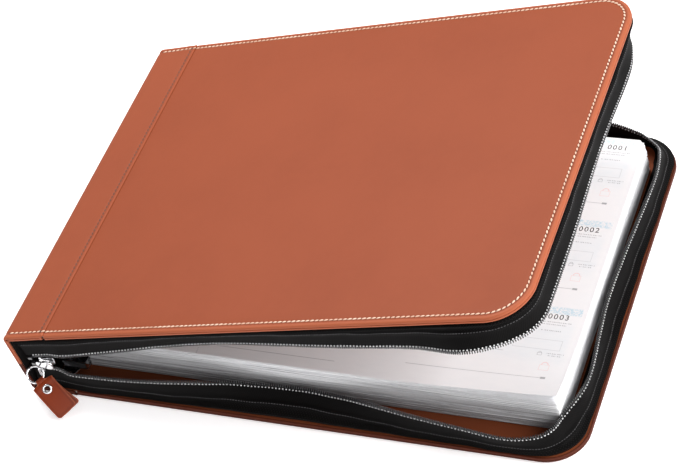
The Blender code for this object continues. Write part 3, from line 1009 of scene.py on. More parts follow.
@dataclass
class Row:
    """Copies of one small shape at even steps along guide lines, laid by Geometry Nodes."""

    shape: bpy.types.Object
    pitch: float
    finish: Finish
    spread: float = 0.0
    seed: int = 7
    guides: list[tuple[np.ndarray, np.ndarray]] = field(default_factory=list)

    @staticmethod
    def tree() -> bpy.types.NodeTree:
        """The shared node tree: guide line to steps to copies to one mesh."""
        found = bpy.data.node_groups.get("shapes_along_a_line")
        if found:
            return found
        tree = bpy.data.node_groups.new("shapes_along_a_line", "GeometryNodeTree")
        for name, kind in (("Guide", "NodeSocketGeometry"), ("Shape", "NodeSocketObject"),
                           ("Pitch", "NodeSocketFloat"), ("Spread", "NodeSocketFloat"),
                           ("Seed", "NodeSocketInt"), ("Finish", "NodeSocketMaterial")):
            tree.interface.new_socket(name, in_out="INPUT", socket_type=kind)
        tree.interface.new_socket("Pieces", in_out="OUTPUT", socket_type="NodeSocketGeometry")

        def add(kind: str, settings: Optional[dict] = None, links: Optional[dict] = None) -> bpy.types.Node:
            """Add a node with its settings and links.

            Args:
                kind: The node's type.
                settings: Its own settings.
                links: Values or links by socket name or number.

            Returns:
                The node.
            """
            made = tree.nodes.new(kind)
            for key, value in (settings or {}).items():
                setattr(made, key, value)
            for key, value in (links or {}).items():
                if isinstance(value, bpy.types.NodeSocket):
                    tree.links.new(value, made.inputs[key])
                else:
                    made.inputs[key].default_value = value
            return made

        start = add("NodeGroupInput").outputs
        line = add("GeometryNodeMeshToCurve", None, {"Mesh": start["Guide"]}).outputs[0]
        steps = add("GeometryNodeResampleCurve", {"mode": "LENGTH"},
                    {"Curve": line, "Length": start["Pitch"]}).outputs[0]
        ahead = add("GeometryNodeInputTangent").outputs[0]
        along = add("FunctionNodeAlignRotationToVector", {"axis": "X"}, {"Vector": ahead}).outputs[0]
        lift = add("GeometryNodeInputNamedAttribute", {"data_type": "FLOAT_VECTOR"}, {"Name": "lift"})
        turn = add("FunctionNodeAlignRotationToVector", {"axis": "Z", "pivot_axis": "X"},
                   {"Rotation": along, "Vector": lift.outputs[0]}).outputs[0]
        low = add("ShaderNodeMath", {"operation": "SUBTRACT"}, {0: 1.0, 1: start["Spread"]}).outputs[0]
        high = add("ShaderNodeMath", {"operation": "ADD"}, {0: 1.0, 1: start["Spread"]}).outputs[0]
        size = add("FunctionNodeRandomValue", {"data_type": "FLOAT"},
                   {2: low, 3: high, "Seed": start["Seed"]}).outputs[1]
        shape = add("GeometryNodeObjectInfo", {"transform_space": "ORIGINAL"}, {"Object": start["Shape"]})
        copies = add("GeometryNodeInstanceOnPoints", None,
                     {"Points": steps, "Instance": shape.outputs["Geometry"], "Rotation": turn,
                      "Scale": size}).outputs[0]
        whole = add("GeometryNodeRealizeInstances", None, {0: copies}).outputs[0]
        dressed = add("GeometryNodeSetMaterial", None, {"Geometry": whole, "Material": start["Finish"]})
        add("NodeGroupOutput", None, {0: dressed.outputs[0]})
        return tree

    def guide(self, points: np.ndarray, lifts: np.ndarray) -> None:
        """Add a guide line."""
        self.guides.append((np.asarray(points, dtype=float), np.asarray(lifts, dtype=float)))

    def lay(self, name: str) -> bpy.types.Object:
        """Lay the copies and make them one plain mesh.

        Args:
            name: The piece's name.

        Returns:
            The piece.
        """
        points = np.vstack([line for line, _ in self.guides]) * MM
        lifts = np.vstack([lift for _, lift in self.guides])
        edges, first = [], 0
        for line, _ in self.guides:
            edges += [(first + step, first + step + 1) for step in range(len(line) - 1)]
            first += len(line)
        mesh = bpy.data.meshes.new(name + "_guide")
        mesh.from_pydata(points.tolist(), edges, [])
        mesh.attributes.new("lift", "FLOAT_VECTOR", "POINT").data.foreach_set("vector", lifts.ravel())
        guide = bpy.data.objects.new(name + "_guide", mesh)
        bpy.context.scene.collection.objects.link(guide)
        nodes = guide.modifiers.new("row", "NODES")
        nodes.node_group = self.tree()
        values = {"Shape": self.shape, "Pitch": self.pitch * MM, "Spread": self.spread,
                  "Seed": self.seed, "Finish": self.finish.material()}
        for socket in nodes.node_group.interface.items_tree:
            if socket.in_out == "INPUT" and socket.name in values:
                nodes[socket.identifier] = values[socket.name]
        plain = plain_mesh(guide)
        guide.modifiers.clear()
        bpy.data.objects.remove(guide)
        plain.name = name
        return finished(name, plain, self.finish, recalculate=False)


def small_shape(name: str, sketch: Sketch) -> bpy.types.Object:
    """A shape for a row, kept out of the scene.

    Args:
        name: Its name.
        sketch: Its drawing.

    Returns:
        The object.
    """
    item = sketch.piece(name, CARD)
    bpy.context.scene.collection.objects.unlink(item)
    return item


def lathe_shape(profile: Sequence[tuple[float, float, float]], sides: int) -> Sketch:
    """A rounded bar along X.

    Args:
        profile: X, half width and half height of each section; the two ends are points.
        sides: Faces round it.

    Returns:
        The drawn bar.
    """
    sketch = Sketch()
    turn = full_turn(sides)
    rows = [sketch.row([(x, wide * math.cos(t), high * math.sin(t)) for t in turn])
            for x, wide, high in profile]
    sketch.loops(rows)
    return sketch


@dataclass(frozen=True)
class EdgeTurn:
    """The rounded, turned-in rim of a leather cover, with the dip that the stitching pulls in.

    Each pair is a distance in from the outline and a depth under the outer face, in millimetres.
    """

    outer: tuple[tuple[float, float], ...] = (
        (7.0, 0.0), (5.6, 0.02), (4.9, 0.12), (4.45, 0.26), (4.2, 0.3), (3.95, 0.26), (3.5, 0.1),
        (2.6, -0.06), (1.7, -0.02), (1.0, 0.1), (0.55, 0.34), (0.2, 0.75), (0.03, 1.25), (0.0, 1.7),
        (0.55, 1.95), (0.6, 2.25), (0.05, 2.55), (0.05, 3.1), (0.25, 3.7), (0.6, 3.98))
    inner: tuple[tuple[float, float], ...] = ((1.2, 4.0), (1.2, 1.0))

    def rings(self) -> list[tuple[float, float]]:
        """All the pairs, from the outer face round to the inside."""
        return [*self.outer, *self.inner]


@dataclass
class Cover:
    """One leather cover: a shell with turned edges, its seams, board, lining and pocket."""

    leaf: Leaf
    size: RoundEnd
    turn: EdgeTurn = EdgeTurn()
    swell: float = 0.9
    stitch_inset: float = 4.2
    stitch_pitch: float = 3.3

    @property
    def word(self) -> str:
        """The cover's name in the frame."""
        return "back" if self.leaf.side is Side.LOWER else "front"

    def puff(self, spots: np.ndarray) -> np.ndarray:
        """How far the padded face stands up.

        Args:
            spots: X and Y in rows.

        Returns:
            Height over the edge, in millimetres.
        """
        if self.leaf.side is Side.LOWER:
            return np.zeros(spots.shape[:-1])
        long = (spots[..., 0] - self.size.start) / (self.size.end - self.size.start)
        wide = spots[..., 1] / self.size.half
        crown = (1 - np.abs(2 * long - 1) ** 5) * (1 - np.abs(wide) ** 5)
        ripple = 0.16 * np.sin(long * 7.0 + wide * 1.3) * np.sin(wide * 4.1 + 0.6)
        return np.maximum(crown, 0.0) * (self.swell + ripple)

    def shell(self) -> bpy.types.Object:
        """Build the leather shell.

        Returns:
            The piece.
        """
        sketch = Sketch()
        size, rings = self.size, self.turn.rings()
        top = size.field(rings[0][0])
        depth = rings[0][1] - self.puff(top)
        face = sketch.row(self.leaf.place(np.dstack((top, depth)).reshape(-1, 3)), self.edge_coords(top))
        face = face.reshape(top.shape[:2])
        rows = [size.rim_numbers(face)]
        for inset, deep in rings[1:]:
            line = size.whole(inset)
            spots = np.column_stack((line, np.full(len(line), deep)))
            rows.append(sketch.row(self.leaf.place(spots), self.ring_coords(line, inset)))
        under = size.field(rings[-1][0])
        low = np.full(under.shape[:2], rings[-1][1])
        back = sketch.row(self.leaf.place(np.dstack((under, low)).reshape(-1, 3)),
                          self.edge_coords(under)).reshape(under.shape[:2])
        last = size.rim_numbers(back)
        for first, second in zip(rows, rows[1:]):
            sketch.bridge(first, second)
        sketch.bridge(rows[-1], last)
        for grid in (face, back):
            for near, far in zip(grid, grid[1:]):
                sketch.bridge(near, far)
        ends = [row[-1] for row in rows[1:]] + list(back[0][::-1]) + [row[0] for row in rows[:0:-1]]
        sketch.fill([*face[0], *ends])
        finish = UNDER_TAN if self.word == "back" else COVER_TAN
        return sketch.piece(f"{self.word}_cover_shell", finish, 50.0)

    def edge_coords(self, spots: np.ndarray) -> np.ndarray:
        """Distance in from the nearest sewn edge, and place along the spine.

        Args:
            spots: X and Y by column and row.

        Returns:
            Surface coordinates in rows.
        """
        flat = spots.reshape(-1, 2)
        inset = np.minimum(self.size.half - np.abs(flat[:, 1]), self.size.end - flat[:, 0])
        bend = self.size.half - self.size.radius
        past = np.column_stack((flat[:, 0] - self.size.end + self.size.radius, np.abs(flat[:, 1]) - bend))
        corner = (past > 0).all(axis=1)
        inset[corner] = self.size.radius - np.linalg.norm(past[corner], axis=1)
        return np.column_stack((inset, flat[:, 0] + flat[:, 1]))

    @staticmethod
    def ring_coords(line: np.ndarray, inset: float) -> np.ndarray:
        """Surface coordinates of one ring of the rim."""
        return np.column_stack((np.full(len(line), inset), line[:, 0] + line[:, 1]))

    def seam(self, inset: float, start: float) -> tuple[np.ndarray, np.ndarray]:
        """A sewing line round the open sides.

        Args:
            inset: Distance in from the outline.
            start: Where the line starts and ends along X.

        Returns:
            Points at rest, and the outward direction at each.
        """
        line = RoundEnd(start, self.size.end, self.size.half, self.size.radius, 120, 24, 80).whole(inset)
        deep = np.full(len(line), 0.16)
        points = self.leaf.place(np.column_stack((line, deep)))
        above = self.leaf.place(np.column_stack((line, deep - 1.0)))
        return points, unit(above - points)

    def stitches(self, shapes: "StitchShapes") -> list[bpy.types.Object]:
        """Sew the rim.

        Args:
            shapes: The stitch and the needle hole.

        Returns:
            The thread and the holes.
        """
        points, lifts = self.seam(self.stitch_inset, self.size.start + 1.5)
        thread = Row(shapes.thread, self.stitch_pitch, CREAM_THREAD, 0.08)
        thread.guide(points, lifts)
        holes = Row(shapes.hole, self.stitch_pitch, HOLE_SHADE, 0.1)
        holes.guide(*self.shifted(points, lifts, self.stitch_pitch / 2))
        return [thread.lay(f"{self.word}_rim_stitches"), holes.lay(f"{self.word}_rim_holes")]

    @staticmethod
    def shifted(points: np.ndarray, lifts: np.ndarray, gap: float) -> tuple[np.ndarray, np.ndarray]:
        """A guide line that starts and ends later by one gap.

        Args:
            points: The line.
            lifts: Its up directions.
            gap: How much later, in millimetres.

        Returns:
            The moved line and its up directions.
        """
        run = distance_along(points)
        asked = np.linspace(gap, run[-1] + gap, len(run))
        line = np.column_stack([np.interp(asked, run, points[:, axis]) for axis in range(3)])
        rise = np.column_stack([np.interp(asked, run, lifts[:, axis]) for axis in range(3)])
        over = asked > run[-1]
        line[over] += unit(points[-1] - points[-2]) * (asked[over] - run[-1])[:, None]
        return line, unit(rise)

    def build(self, shapes: "StitchShapes") -> None:
        """Build the cover and fix it to its body.

        Args:
            shapes: The small shapes that its rows are made of.
        """
        shell = self.shell()
        attach(self.leaf.body, "cover_leather", shell, *self.stitches(shapes))
        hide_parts(f"{self.word}_cover_leather")
        CARD.coat(f"{self.word}_cover_board")
        LINING_TAN.coat(f"{self.word}_cover_lining")
        log.info("%s cover: shell and seams", self.word)


class StitchShapes:
    """The small shapes that rows of sewing are made of."""

    def __init__(self) -> None:
        """Draw a stitch, a short stitch and a needle hole."""
        self.thread = small_shape("stitch_shape", self.stitch(1.32, 0.62, 0.42))
        self.short = small_shape("short_stitch_shape", self.stitch(0.95, 0.28, 0.2))
        self.hole = small_shape("hole_shape", self.puncture(0.8))

    @staticmethod
    def stitch(reach: float, wide: float, high: float) -> Sketch:
        """A tight, slightly twisted loop of thread lying along X.

        Args:
            reach: Half its length.
            wide: Half its width.
            high: Half its height.

        Returns:
            The drawn stitch.
        """
        sketch = Sketch()
        rows = []
        for share in (-1.0, -0.72, -0.25, 0.25, 0.72, 1.0):
            swell = math.sqrt(max(1 - share * share * 0.93, 0.03))
            slant = share * wide * 0.55
            turn = [share * 0.9 + step * math.pi / 3 for step in range(6)]
            rows.append(sketch.row([(reach * share, slant + wide * swell * math.cos(t),
                                     0.12 * (1 - share * share) + high * swell * math.sin(t)) for t in turn]))
        sketch.loops(rows)
        return sketch

    @staticmethod
    def puncture(radius: float) -> Sketch:
        """A puckered needle hole: a low cup with a rim, dark with painted shade.

        Args:
            radius: Its outer radius.

        Returns:
            The drawn hole.
        """
        sketch = Sketch()
        turn = [step * math.pi / 4 for step in range(8)]
        rows = [sketch.row([(1.25 * r * radius * math.cos(t), r * radius * math.sin(t), z) for t in turn])
                for r, z in ((0.35, -0.35), (1.0, -0.12), (0.95, -0.03), (0.55, -0.1))]
        sketch.loops(rows)
        return sketch


@dataclass
class SpineWrap:
    """The leather that laps from one cover over its fold to the middle of the spine."""

    leaf: Leaf
    half: float
    edge: float
    fold: float
    height: float
    raised: float = 0.55
    leather: float = 0.9
    stitch_back: float = 3.4
    lap_pitch: float = 3.1
    rim_pitch: float = 3.3
    rim_inset: float = 4.2

    @property
    def word(self) -> str:
        """The cover's name in the frame."""
        return "back" if self.leaf.side is Side.LOWER else "front"

    def lapped(self) -> np.ndarray:
        """Depths across the lap, from its folded edge towards the spine.

        Returns:
            Distance from the folded edge and depth, in rows.
        """
        pairs = ((0.25, 0.95), (0.0, 0.45), (0.04, 0.0), (0.3, -0.42), (0.9, -0.62), (1.8, -0.6),
                 (2.6, -0.45), (3.4, -0.2), (4.2, -0.42), (5.4, -0.5), (8.0, -0.42), (12.0, -0.26),
                 (17.0, -0.12), (22.0, -0.04), (26.0, 0.0), (29.0, 0.0))
        return np.array(pairs) * np.array([1.0, self.raised / 0.6])

    def line(self) -> tuple[np.ndarray, np.ndarray, np.ndarray]:
        """The outer face's section from the fold on the cover to the middle of the spine.

        Returns:
            Points, outward directions, and how much of the full rim each has.
        """
        lap = self.lapped()
        flat = np.column_stack((self.fold - lap[:, 0], np.zeros(len(lap)), lap[:, 1]))
        onto = self.leaf.place(flat)
        sign = 1.0 if self.leaf.side is Side.UPPER else -1.0
        start, ahead = onto[-1], unit(onto[-1] - onto[-2])
        tall = self.height / 2
        heights = np.linspace(3.6, tall, 12)
        levels = self.height - heights if self.leaf.side is Side.UPPER else heights
        down = self.leaf.hinges.spine(np.column_stack((np.full(12, self.edge), np.zeros(12), levels)))
        finish, back = down[0], unit(down[0] - down[1])
        cross = ahead[0] * back[2] - ahead[2] * back[0]
        gap = finish - start
        reach = (gap[0] * back[2] - gap[2] * back[0]) / cross
        knee = start + ahead * reach
        bend = rounded(start, knee, finish, 12)
        points = np.vstack((onto, bend, down))
        along = unit(np.gradient(points, axis=0))
        outward = np.column_stack((along[:, 2], np.zeros(len(along)), -along[:, 0])) * sign
        thinned = 0.5 + 0.45 * np.abs(np.linspace(-1.0, 1.0, len(bend))) ** 3
        full = np.concatenate((np.ones(len(onto)), thinned, np.full(12, 0.9)))
        return points, outward, full

    def build(self, shapes: StitchShapes) -> None:
        """Build the wrap and its seam, drawn round the fold at rest.

        Args:
            shapes: The small shapes that its rows are made of.
        """
        points, outward, full = self.line()
        rim = EdgeTurn()
        outer = [(inset, deep) for inset, deep in rim.outer]
        sketch = Sketch()
        rows = []
        run = distance_along(points)
        crosswise = np.linspace(-1.0, 1.0, 41)[1:-1] * (self.half - rim.outer[0][0])
        for place, (spot, out, share) in enumerate(zip(points, outward, full)):
            side = [(inset - self.half, deep, inset) for inset, deep in outer]
            near = side[::-1]
            far = [(-y, deep, inset) for y, deep, inset in side]
            middle = [(y, 0.0, self.half - abs(y)) for y in crosswise]
            wall = self.leather if place > 1 else 0.25 * place + 0.3
            inside = [(self.half - 1.2, 4.0, 1.2), (self.half - 1.2, wall, 1.2),
                      (1.2 - self.half, wall, 1.2), (1.2 - self.half, 4.0, 1.2)]
            loop, coords = [], []
            limit = max(4.0 * share, wall + 0.35) if place > 1 else 0.6
            for y, deep, inset in [*near, *middle, *far, *inside]:
                kept = min(deep, limit)
                loop.append(spot - out * kept + np.array([0.0, y, 0.0]))
                coords.append((inset, run[place] + y))
            rows.append(sketch.row(loop, coords))
        sketch.loops(rows)
        finish = UNDER_TAN if self.word == "back" else STRIP_TAN
        wrap = sketch.piece(f"{self.word}_spine_wrap", finish, 50.0)
        nodes = [f"{self.word}_spine_strip"] + (["spine_leather"] if self.leaf.side is Side.LOWER else [])
        self.bend(wrap)
        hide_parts(*nodes)
        self.sew(shapes)
        log.info("%s spine wrap", self.word)

    def bend(self, item: bpy.types.Object) -> None:
        """Bake a piece's placement into its mesh.

        Args:
            item: The piece.
        """
        joint = self.leaf.hinges.spine_low if self.leaf.side is Side.LOWER else self.leaf.hinges.spine_high
        x, z = joint[0] * MM, joint[1] * MM
        up = 0.0045 if self.leaf.side is Side.LOWER else -0.0045
        x - 0.001
        z + up
        x + 0.0045
        z - up * 0.2
        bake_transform(item)

    def sew(self, shapes: StitchShapes) -> None:
        """Sew the lap down, and carry the rim stitches over it.

        Args:
            shapes: The small shapes that its rows are made of.
        """
        span = np.linspace(-1.0, 1.0, 60) * (self.half - 4.4)
        lap = np.full(60, self.fold - self.stitch_back)
        points = self.leaf.place(np.column_stack((lap, span, np.full(60, -0.14))))
        above = self.leaf.place(np.column_stack((lap, span, np.full(60, -1.14))))
        lap_row = Row(shapes.thread, self.lap_pitch, BROWN_THREAD, 0.08)
        lap_row.guide(points, unit(above - points))
        sewn = [lap_row.lay(f"{self.word}_lap_stitches")]
        rim = Row(shapes.thread, self.rim_pitch, CREAM_THREAD, 0.08)
        holes = Row(shapes.hole, self.rim_pitch, HOLE_SHADE, 0.1)
        lapped = self.lapped()
        for sign in (-1.0, 1.0):
            x = np.linspace(self.fold - 1.0, self.fold - 27.0, 40)
            deep = np.interp(self.fold - x, lapped[3:, 0], lapped[3:, 1]) + 0.16
            y = np.full(40, sign * (self.half - self.rim_inset))
            points = self.leaf.place(np.column_stack((x, y, deep)))
            lifts = unit(self.leaf.place(np.column_stack((x, y, deep - 1.0))) - points)
            rim.guide(points, lifts)
            holes.guide(*Cover.shifted(points, lifts, self.rim_pitch / 2))
        sewn += [rim.lay(f"{self.word}_strip_stitches"), holes.lay(f"{self.word}_strip_holes")]
        attach(self.leaf.body, "cover_leather", *sewn)


@dataclass
class HingeCloth:
    """Black cloth glued over the inside of one fold."""

    leaf: Leaf
    half: float
    height: float
    onto: float
    inner: float
    thick: float = 0.28

    def build(self) -> None:
        """Build the cloth, drawn across the fold at rest."""
        upper = self.leaf.side is Side.UPPER
        flat = np.linspace(self.onto, self.inner + 4.5, 8)
        cover = self.leaf.place(np.column_stack((flat, np.zeros(8), np.full(8, 4.12))))
        heights = np.linspace(9.5, 20.0, 8)
        levels = self.height - heights if upper else heights
        spine = self.leaf.hinges.spine(np.column_stack((np.full(8, self.inner + 0.14), np.zeros(8), levels)))
        start, finish = cover[-1], spine[0]
        knee = np.array([finish[0] + 0.3, 0.0, start[2]])
        bend = rounded(start, knee, finish, 10)
        points = np.vstack((cover, bend, spine))
        along = unit(np.gradient(points, axis=0))
        inward = np.column_stack((-along[:, 2], np.zeros(len(along)), along[:, 0])) * (1 if upper else -1)
        sketch = Sketch()
        across = np.linspace(-1.0, 1.0, 61) * (self.half - 1.8)
        rows = []
        for spot, into in zip(points, inward):
            wave = 0.1 * np.sin(across * 0.31) + 0.1
            top = [spot + into * (self.thick + w) + np.array([0.0, y, 0.0]) for y, w in zip(across, wave)]
            low = [spot + np.array([0.0, y, 0.0]) for y in across[::-1]]
            rows.append(sketch.row(top + low))
        sketch.loops(rows)
        word = self.leaf.side.value
        item = sketch.piece(f"{word}_hinge_cloth", BLACK_CLOTH, 60.0)
        joint = self.leaf.hinges.spine_high if upper else self.leaf.hinges.spine_low
        x, z = joint[0] * MM, joint[1] * MM
        start, end = ((0.003, -0.010), (0.010, 0.003)) if upper else ((0.003, 0.010), (0.006, 0.004))
        x + start[0]
        z + start[1]
        x + end[0]
        z + end[1]
        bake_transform(item)
        log.info("%s hinge cloth", word)


@dataclass(frozen=True)
class Wave:
    """One place where the loose band leans in, or out if negative."""

    centre: float
    width: float
    lean: float


@dataclass
class ZipBand:
    """The black gusset, zip tape and coil round three sides of one cover."""

    leaf: Leaf
    outline: RoundEnd
    waves: tuple[Wave, ...]
    settled: float
    foot: float = 4.05
    gusset_tall: float = 9.0
    tall: float = 20.8
    coil_rise: float = 0.7
    pitch: float = 1.55
    hold: float = 16.0

    @property
    def word(self) -> str:
        """Lower or upper."""
        return self.leaf.side.value

    def stations(self, step: float) -> tuple[np.ndarray, np.ndarray, np.ndarray]:
        """Even steps along the band's foot.

        Args:
            step: Their spacing in millimetres.

        Returns:
            X and Y, the inward direction, and the distance run.
        """
        line = self.outline.whole(0.0)
        run = distance_along(line)
        asked = np.linspace(0.0, run[-1], int(run[-1] / step) + 1)
        spots = np.column_stack([np.interp(asked, run, line[:, axis]) for axis in (0, 1)])
        ahead = unit(np.gradient(spots, axis=0))
        return spots, np.column_stack((-ahead[:, 1], ahead[:, 0])), asked

    def lean(self, run: np.ndarray) -> np.ndarray:
        """How far the coil stands in from the band's foot.

        Args:
            run: Distances along the band, from its near end.

        Returns:
            Inward lean in millimetres.
        """
        total = np.full_like(run, self.settled)
        for wave in self.waves:
            total += wave.lean * np.exp(-((run - wave.centre) / wave.width) ** 2)
        length = run[-1]
        ends = np.clip((run - self.hold) / 16.0, 0.0, 1.0) * np.clip((length - run - 6.0) / 30.0, 0.0, 1.0)
        return total * ends * ends * (3 - 2 * ends)

    @staticmethod
    def hem_and_shade_reach(run: float) -> float:
        """How far the band's glued hem runs in over the lining at a distance along the band; along the
        opening side the black hem is widened over lining in shade, which paints that shade.
        """
        share = min(max((run - 372.0) / 22.0, 0.0), max((640.0 - run) / 22.0, 0.0), 1.0)
        return 3.2 + 8.2 * share * share * (3 - 2 * share)

    def section(self, lean: float, run: float, share: np.ndarray) -> tuple[np.ndarray, np.ndarray]:
        """The band's slouching cross-section.

        Args:
            lean: Inward lean of its top.
            run: Distance along the band.
            share: Heights up the cloth, from zero at the foot to one at the top.

        Returns:
            Inward distance and depth at each height.
        """
        fold = -0.55 * np.exp(-((share - 0.47) / 0.1) ** 2)
        drift = 0.25 * math.sin(run * 0.11) + 0.15 * math.sin(run * 0.23 + 1.0)
        belly = -3.1 * np.exp(-((share - 0.17) / 0.1) ** 2)
        inward = lean * share ** 1.6 * (1.6 - 0.6 * share) + fold + belly + drift * np.sin(math.pi * share)
        rise = self.tall * np.diff(share)
        drop = np.sqrt(np.maximum(rise ** 2 - np.diff(inward) ** 2, (0.3 * rise) ** 2))
        return inward, self.foot + np.concatenate(([0.0], np.cumsum(drop)))

    def build(self, shapes: "BandShapes") -> None:
        """Build the cloth and its coil, and fix them to the cover.

        Args:
            shapes: The small shapes that its rows are made of.
        """
        share = np.array([0, .04, .1, .18, .26, .34, .4, .44, .47, .5, .54, .62, .7, .78, .86, .93, .98, 1.0])
        thick = np.interp(share, [0, 0.4, 0.44, 0.5, 0.54, 0.9, 1.0],
                          [1.1, 1.1, 1.7, 1.7, 0.85, 0.8, 0.5]) / 2
        spots, inward, run = self.stations(3.0)
        leans = self.lean(run)
        sketch, rows = Sketch(), []
        crest, lifts, ridge, ridge_out, hem = [], [], [], [], []
        for spot, into, lean, gone in zip(spots, inward, leans, run):
            side, deep = self.section(lean, gone, share)
            line = np.column_stack((side, deep))
            ahead = unit(np.gradient(line, axis=0))
            out = np.column_stack((ahead[:, 1], -ahead[:, 0]))
            inner, outer = line + out * thick[:, None], line - out * thick[:, None]
            cap = (line[-1] + ahead[-1] * 0.25)[None]
            loop = np.vstack((outer, cap, inner[::-1]))
            flat = np.column_stack((spot + into * loop[:, :1], loop[:, 1]))
            heights = np.concatenate((share, [1.0], share[::-1])) * self.tall
            coords = np.column_stack((heights, np.full(len(flat), gone)))
            rows.append(sketch.row(self.leaf.place(flat), coords))
            # A narrow real hem all round; its wide part along the opening side is painted shade over the
            # lining.
            reach = self.hem_and_shade_reach(gone)
            lap = np.array([(0.6, 0.03), (reach, 0.03), (reach - 0.15, 0.4),
                            (reach - 2.0, 0.5), (0.6, 0.5)])
            hem.append((np.column_stack((spot + into * lap[:, :1], self.foot + lap[:, 1])), gone))
            top = line[-1] + ahead[-1] * self.coil_rise
            above = top + ahead[-1]
            crest.append([*(spot + into * top[0]), top[1]])
            lifts.append([*(spot + into * above[0]), above[1]])
            edge = outer[8]
            ridge.append([*(spot + into * edge[0]), edge[1]])
            ridge_out.append([*(spot + into * (edge[0] - out[8][0])), edge[1] - out[8][1]])
        sketch.loops(rows)
        finish = BandCloth(f"{self.word}_band_finish", self.gusset_tall)
        cloth = sketch.piece(f"{self.word}_band_cloth", finish, 60.0)
        lap_sketch = Sketch()
        lap_sketch.loops([lap_sketch.row(self.leaf.place(flat), np.column_stack(
            (np.linspace(10.0, 18.0, 5), np.full(5, gone)))) for flat, gone in hem])
        lap_piece = lap_sketch.piece(f"{self.word}_band_hem", finish, 50.0)
        crest, lifts = self.leaf.place(np.array(crest)), self.leaf.place(np.array(lifts))
        coil = Row(shapes.tooth, self.pitch, COIL_NYLON, 0.04)
        coil.guide(crest[2:], unit(lifts - crest)[2:])
        teeth = coil.lay(f"{self.word}_zip_coil")
        ridge, ridge_out = self.leaf.place(np.array(ridge)), self.leaf.place(np.array(ridge_out))
        sewing = Row(shapes.bead, 1.9, BLACK_THREAD, 0.15)
        sewing.guide(ridge[1:-1], unit(ridge_out - ridge)[1:-1])
        down = unit(crest - lifts)
        # Painted highlights of the coil: a row of light grey beads on each face.
        glint_chain = Row(shapes.dot, self.pitch * 1.5, COIL_GLINT_THREAD, 0.06)
        for side in (-1.0, 1.0):
            face = unit(np.cross(np.gradient(crest, axis=0), down)) * side
            line = (crest + down * 1.45 + face * 0.6)[2:]
            glint_chain.guide(line, face[2:])
        beads = sewing.lay(f"{self.word}_band_sewing")
        glint_beads = glint_chain.lay(f"{self.word}_coil_chain")
        attach(self.leaf.body, "black_cloth", cloth, beads, lap_piece)
        attach(self.leaf.body, "zip_coil", teeth, glint_beads)
        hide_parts(f"{self.word}_gusset", f"{self.word}_zip_tape")
        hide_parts(f"{self.word}_zip_teeth")
        round((self.tall + 0.3) * MM, 4)
        for end in ("near", "far"):
            SATIN_BLACK.coat(f"{self.word}_zip_stop_{end}")


class BandShapes:
    """The small shapes on a zip band."""

    def __init__(self) -> None:
        """Draw a coil tooth and a sewing bead."""
        self.tooth = small_shape("tooth_shape", self.tooth_bar())
        self.bead = small_shape("bead_shape", lathe_shape(
            [(-0.62, 0.08, 0.06), (-0.4, 0.24, 0.16), (0.4, 0.24, 0.16), (0.62, 0.08, 0.06)], 5))
        self.dot = small_shape("dot_shape", lathe_shape(
            [(-0.46, 0.2, 0.12), (-0.34, 0.46, 0.34), (0.34, 0.46, 0.34), (0.46, 0.2, 0.12)], 6))

    @staticmethod
    def tooth_bar() -> Sketch:
        """One turn of the coil: a rounded bar across the tape's edge with a swollen tip."""
        sketch = Sketch()
        profile = ((-1.5, 0.2, 0.5), (-1.2, 0.44, 0.95), (-0.5, 0.46, 1.02), (0.1, 0.4, 0.85),
                   (0.6, 0.5, 0.8), (0.95, 0.46, 0.68), (1.2, 0.2, 0.3))
        rows = [sketch.row([(wide * math.cos(t), deep * math.sin(t), z)
                            for t in (step * math.pi / 3 for step in range(6))])
                for z, wide, deep in profile]
        sketch.loops(rows)
        return sketch


@dataclass
class PullFrame:
    """Where the jump ring and the tab hang, in millimetres."""

    pivot: np.ndarray
    across: np.ndarray
    down: np.ndarray = field(default_factory=lambda: unit(np.array([0.680, -0.343, -0.648])))

    @property
    def face(self) -> np.ndarray:
        """Out of the tab's front."""
        return np.cross(self.across, -self.down)

    @classmethod
    def from_record(cls) -> "PullFrame":
        """Read the tab's fold line."""
        joint = next(j for j in frame["record"]["behaviour"]["joints"] if j["name"] == "tab_swing")
        return cls(np.array(joint["pos_m"]) / MM, unit(np.array(joint["axis"], dtype=float)))

    def put(self, points: Sequence) -> np.ndarray:
        """Place points drawn across, down and out of the tab."""
        points = np.asarray(points, dtype=float)
        return self.pivot + points @ np.vstack((self.across, self.down, self.face))


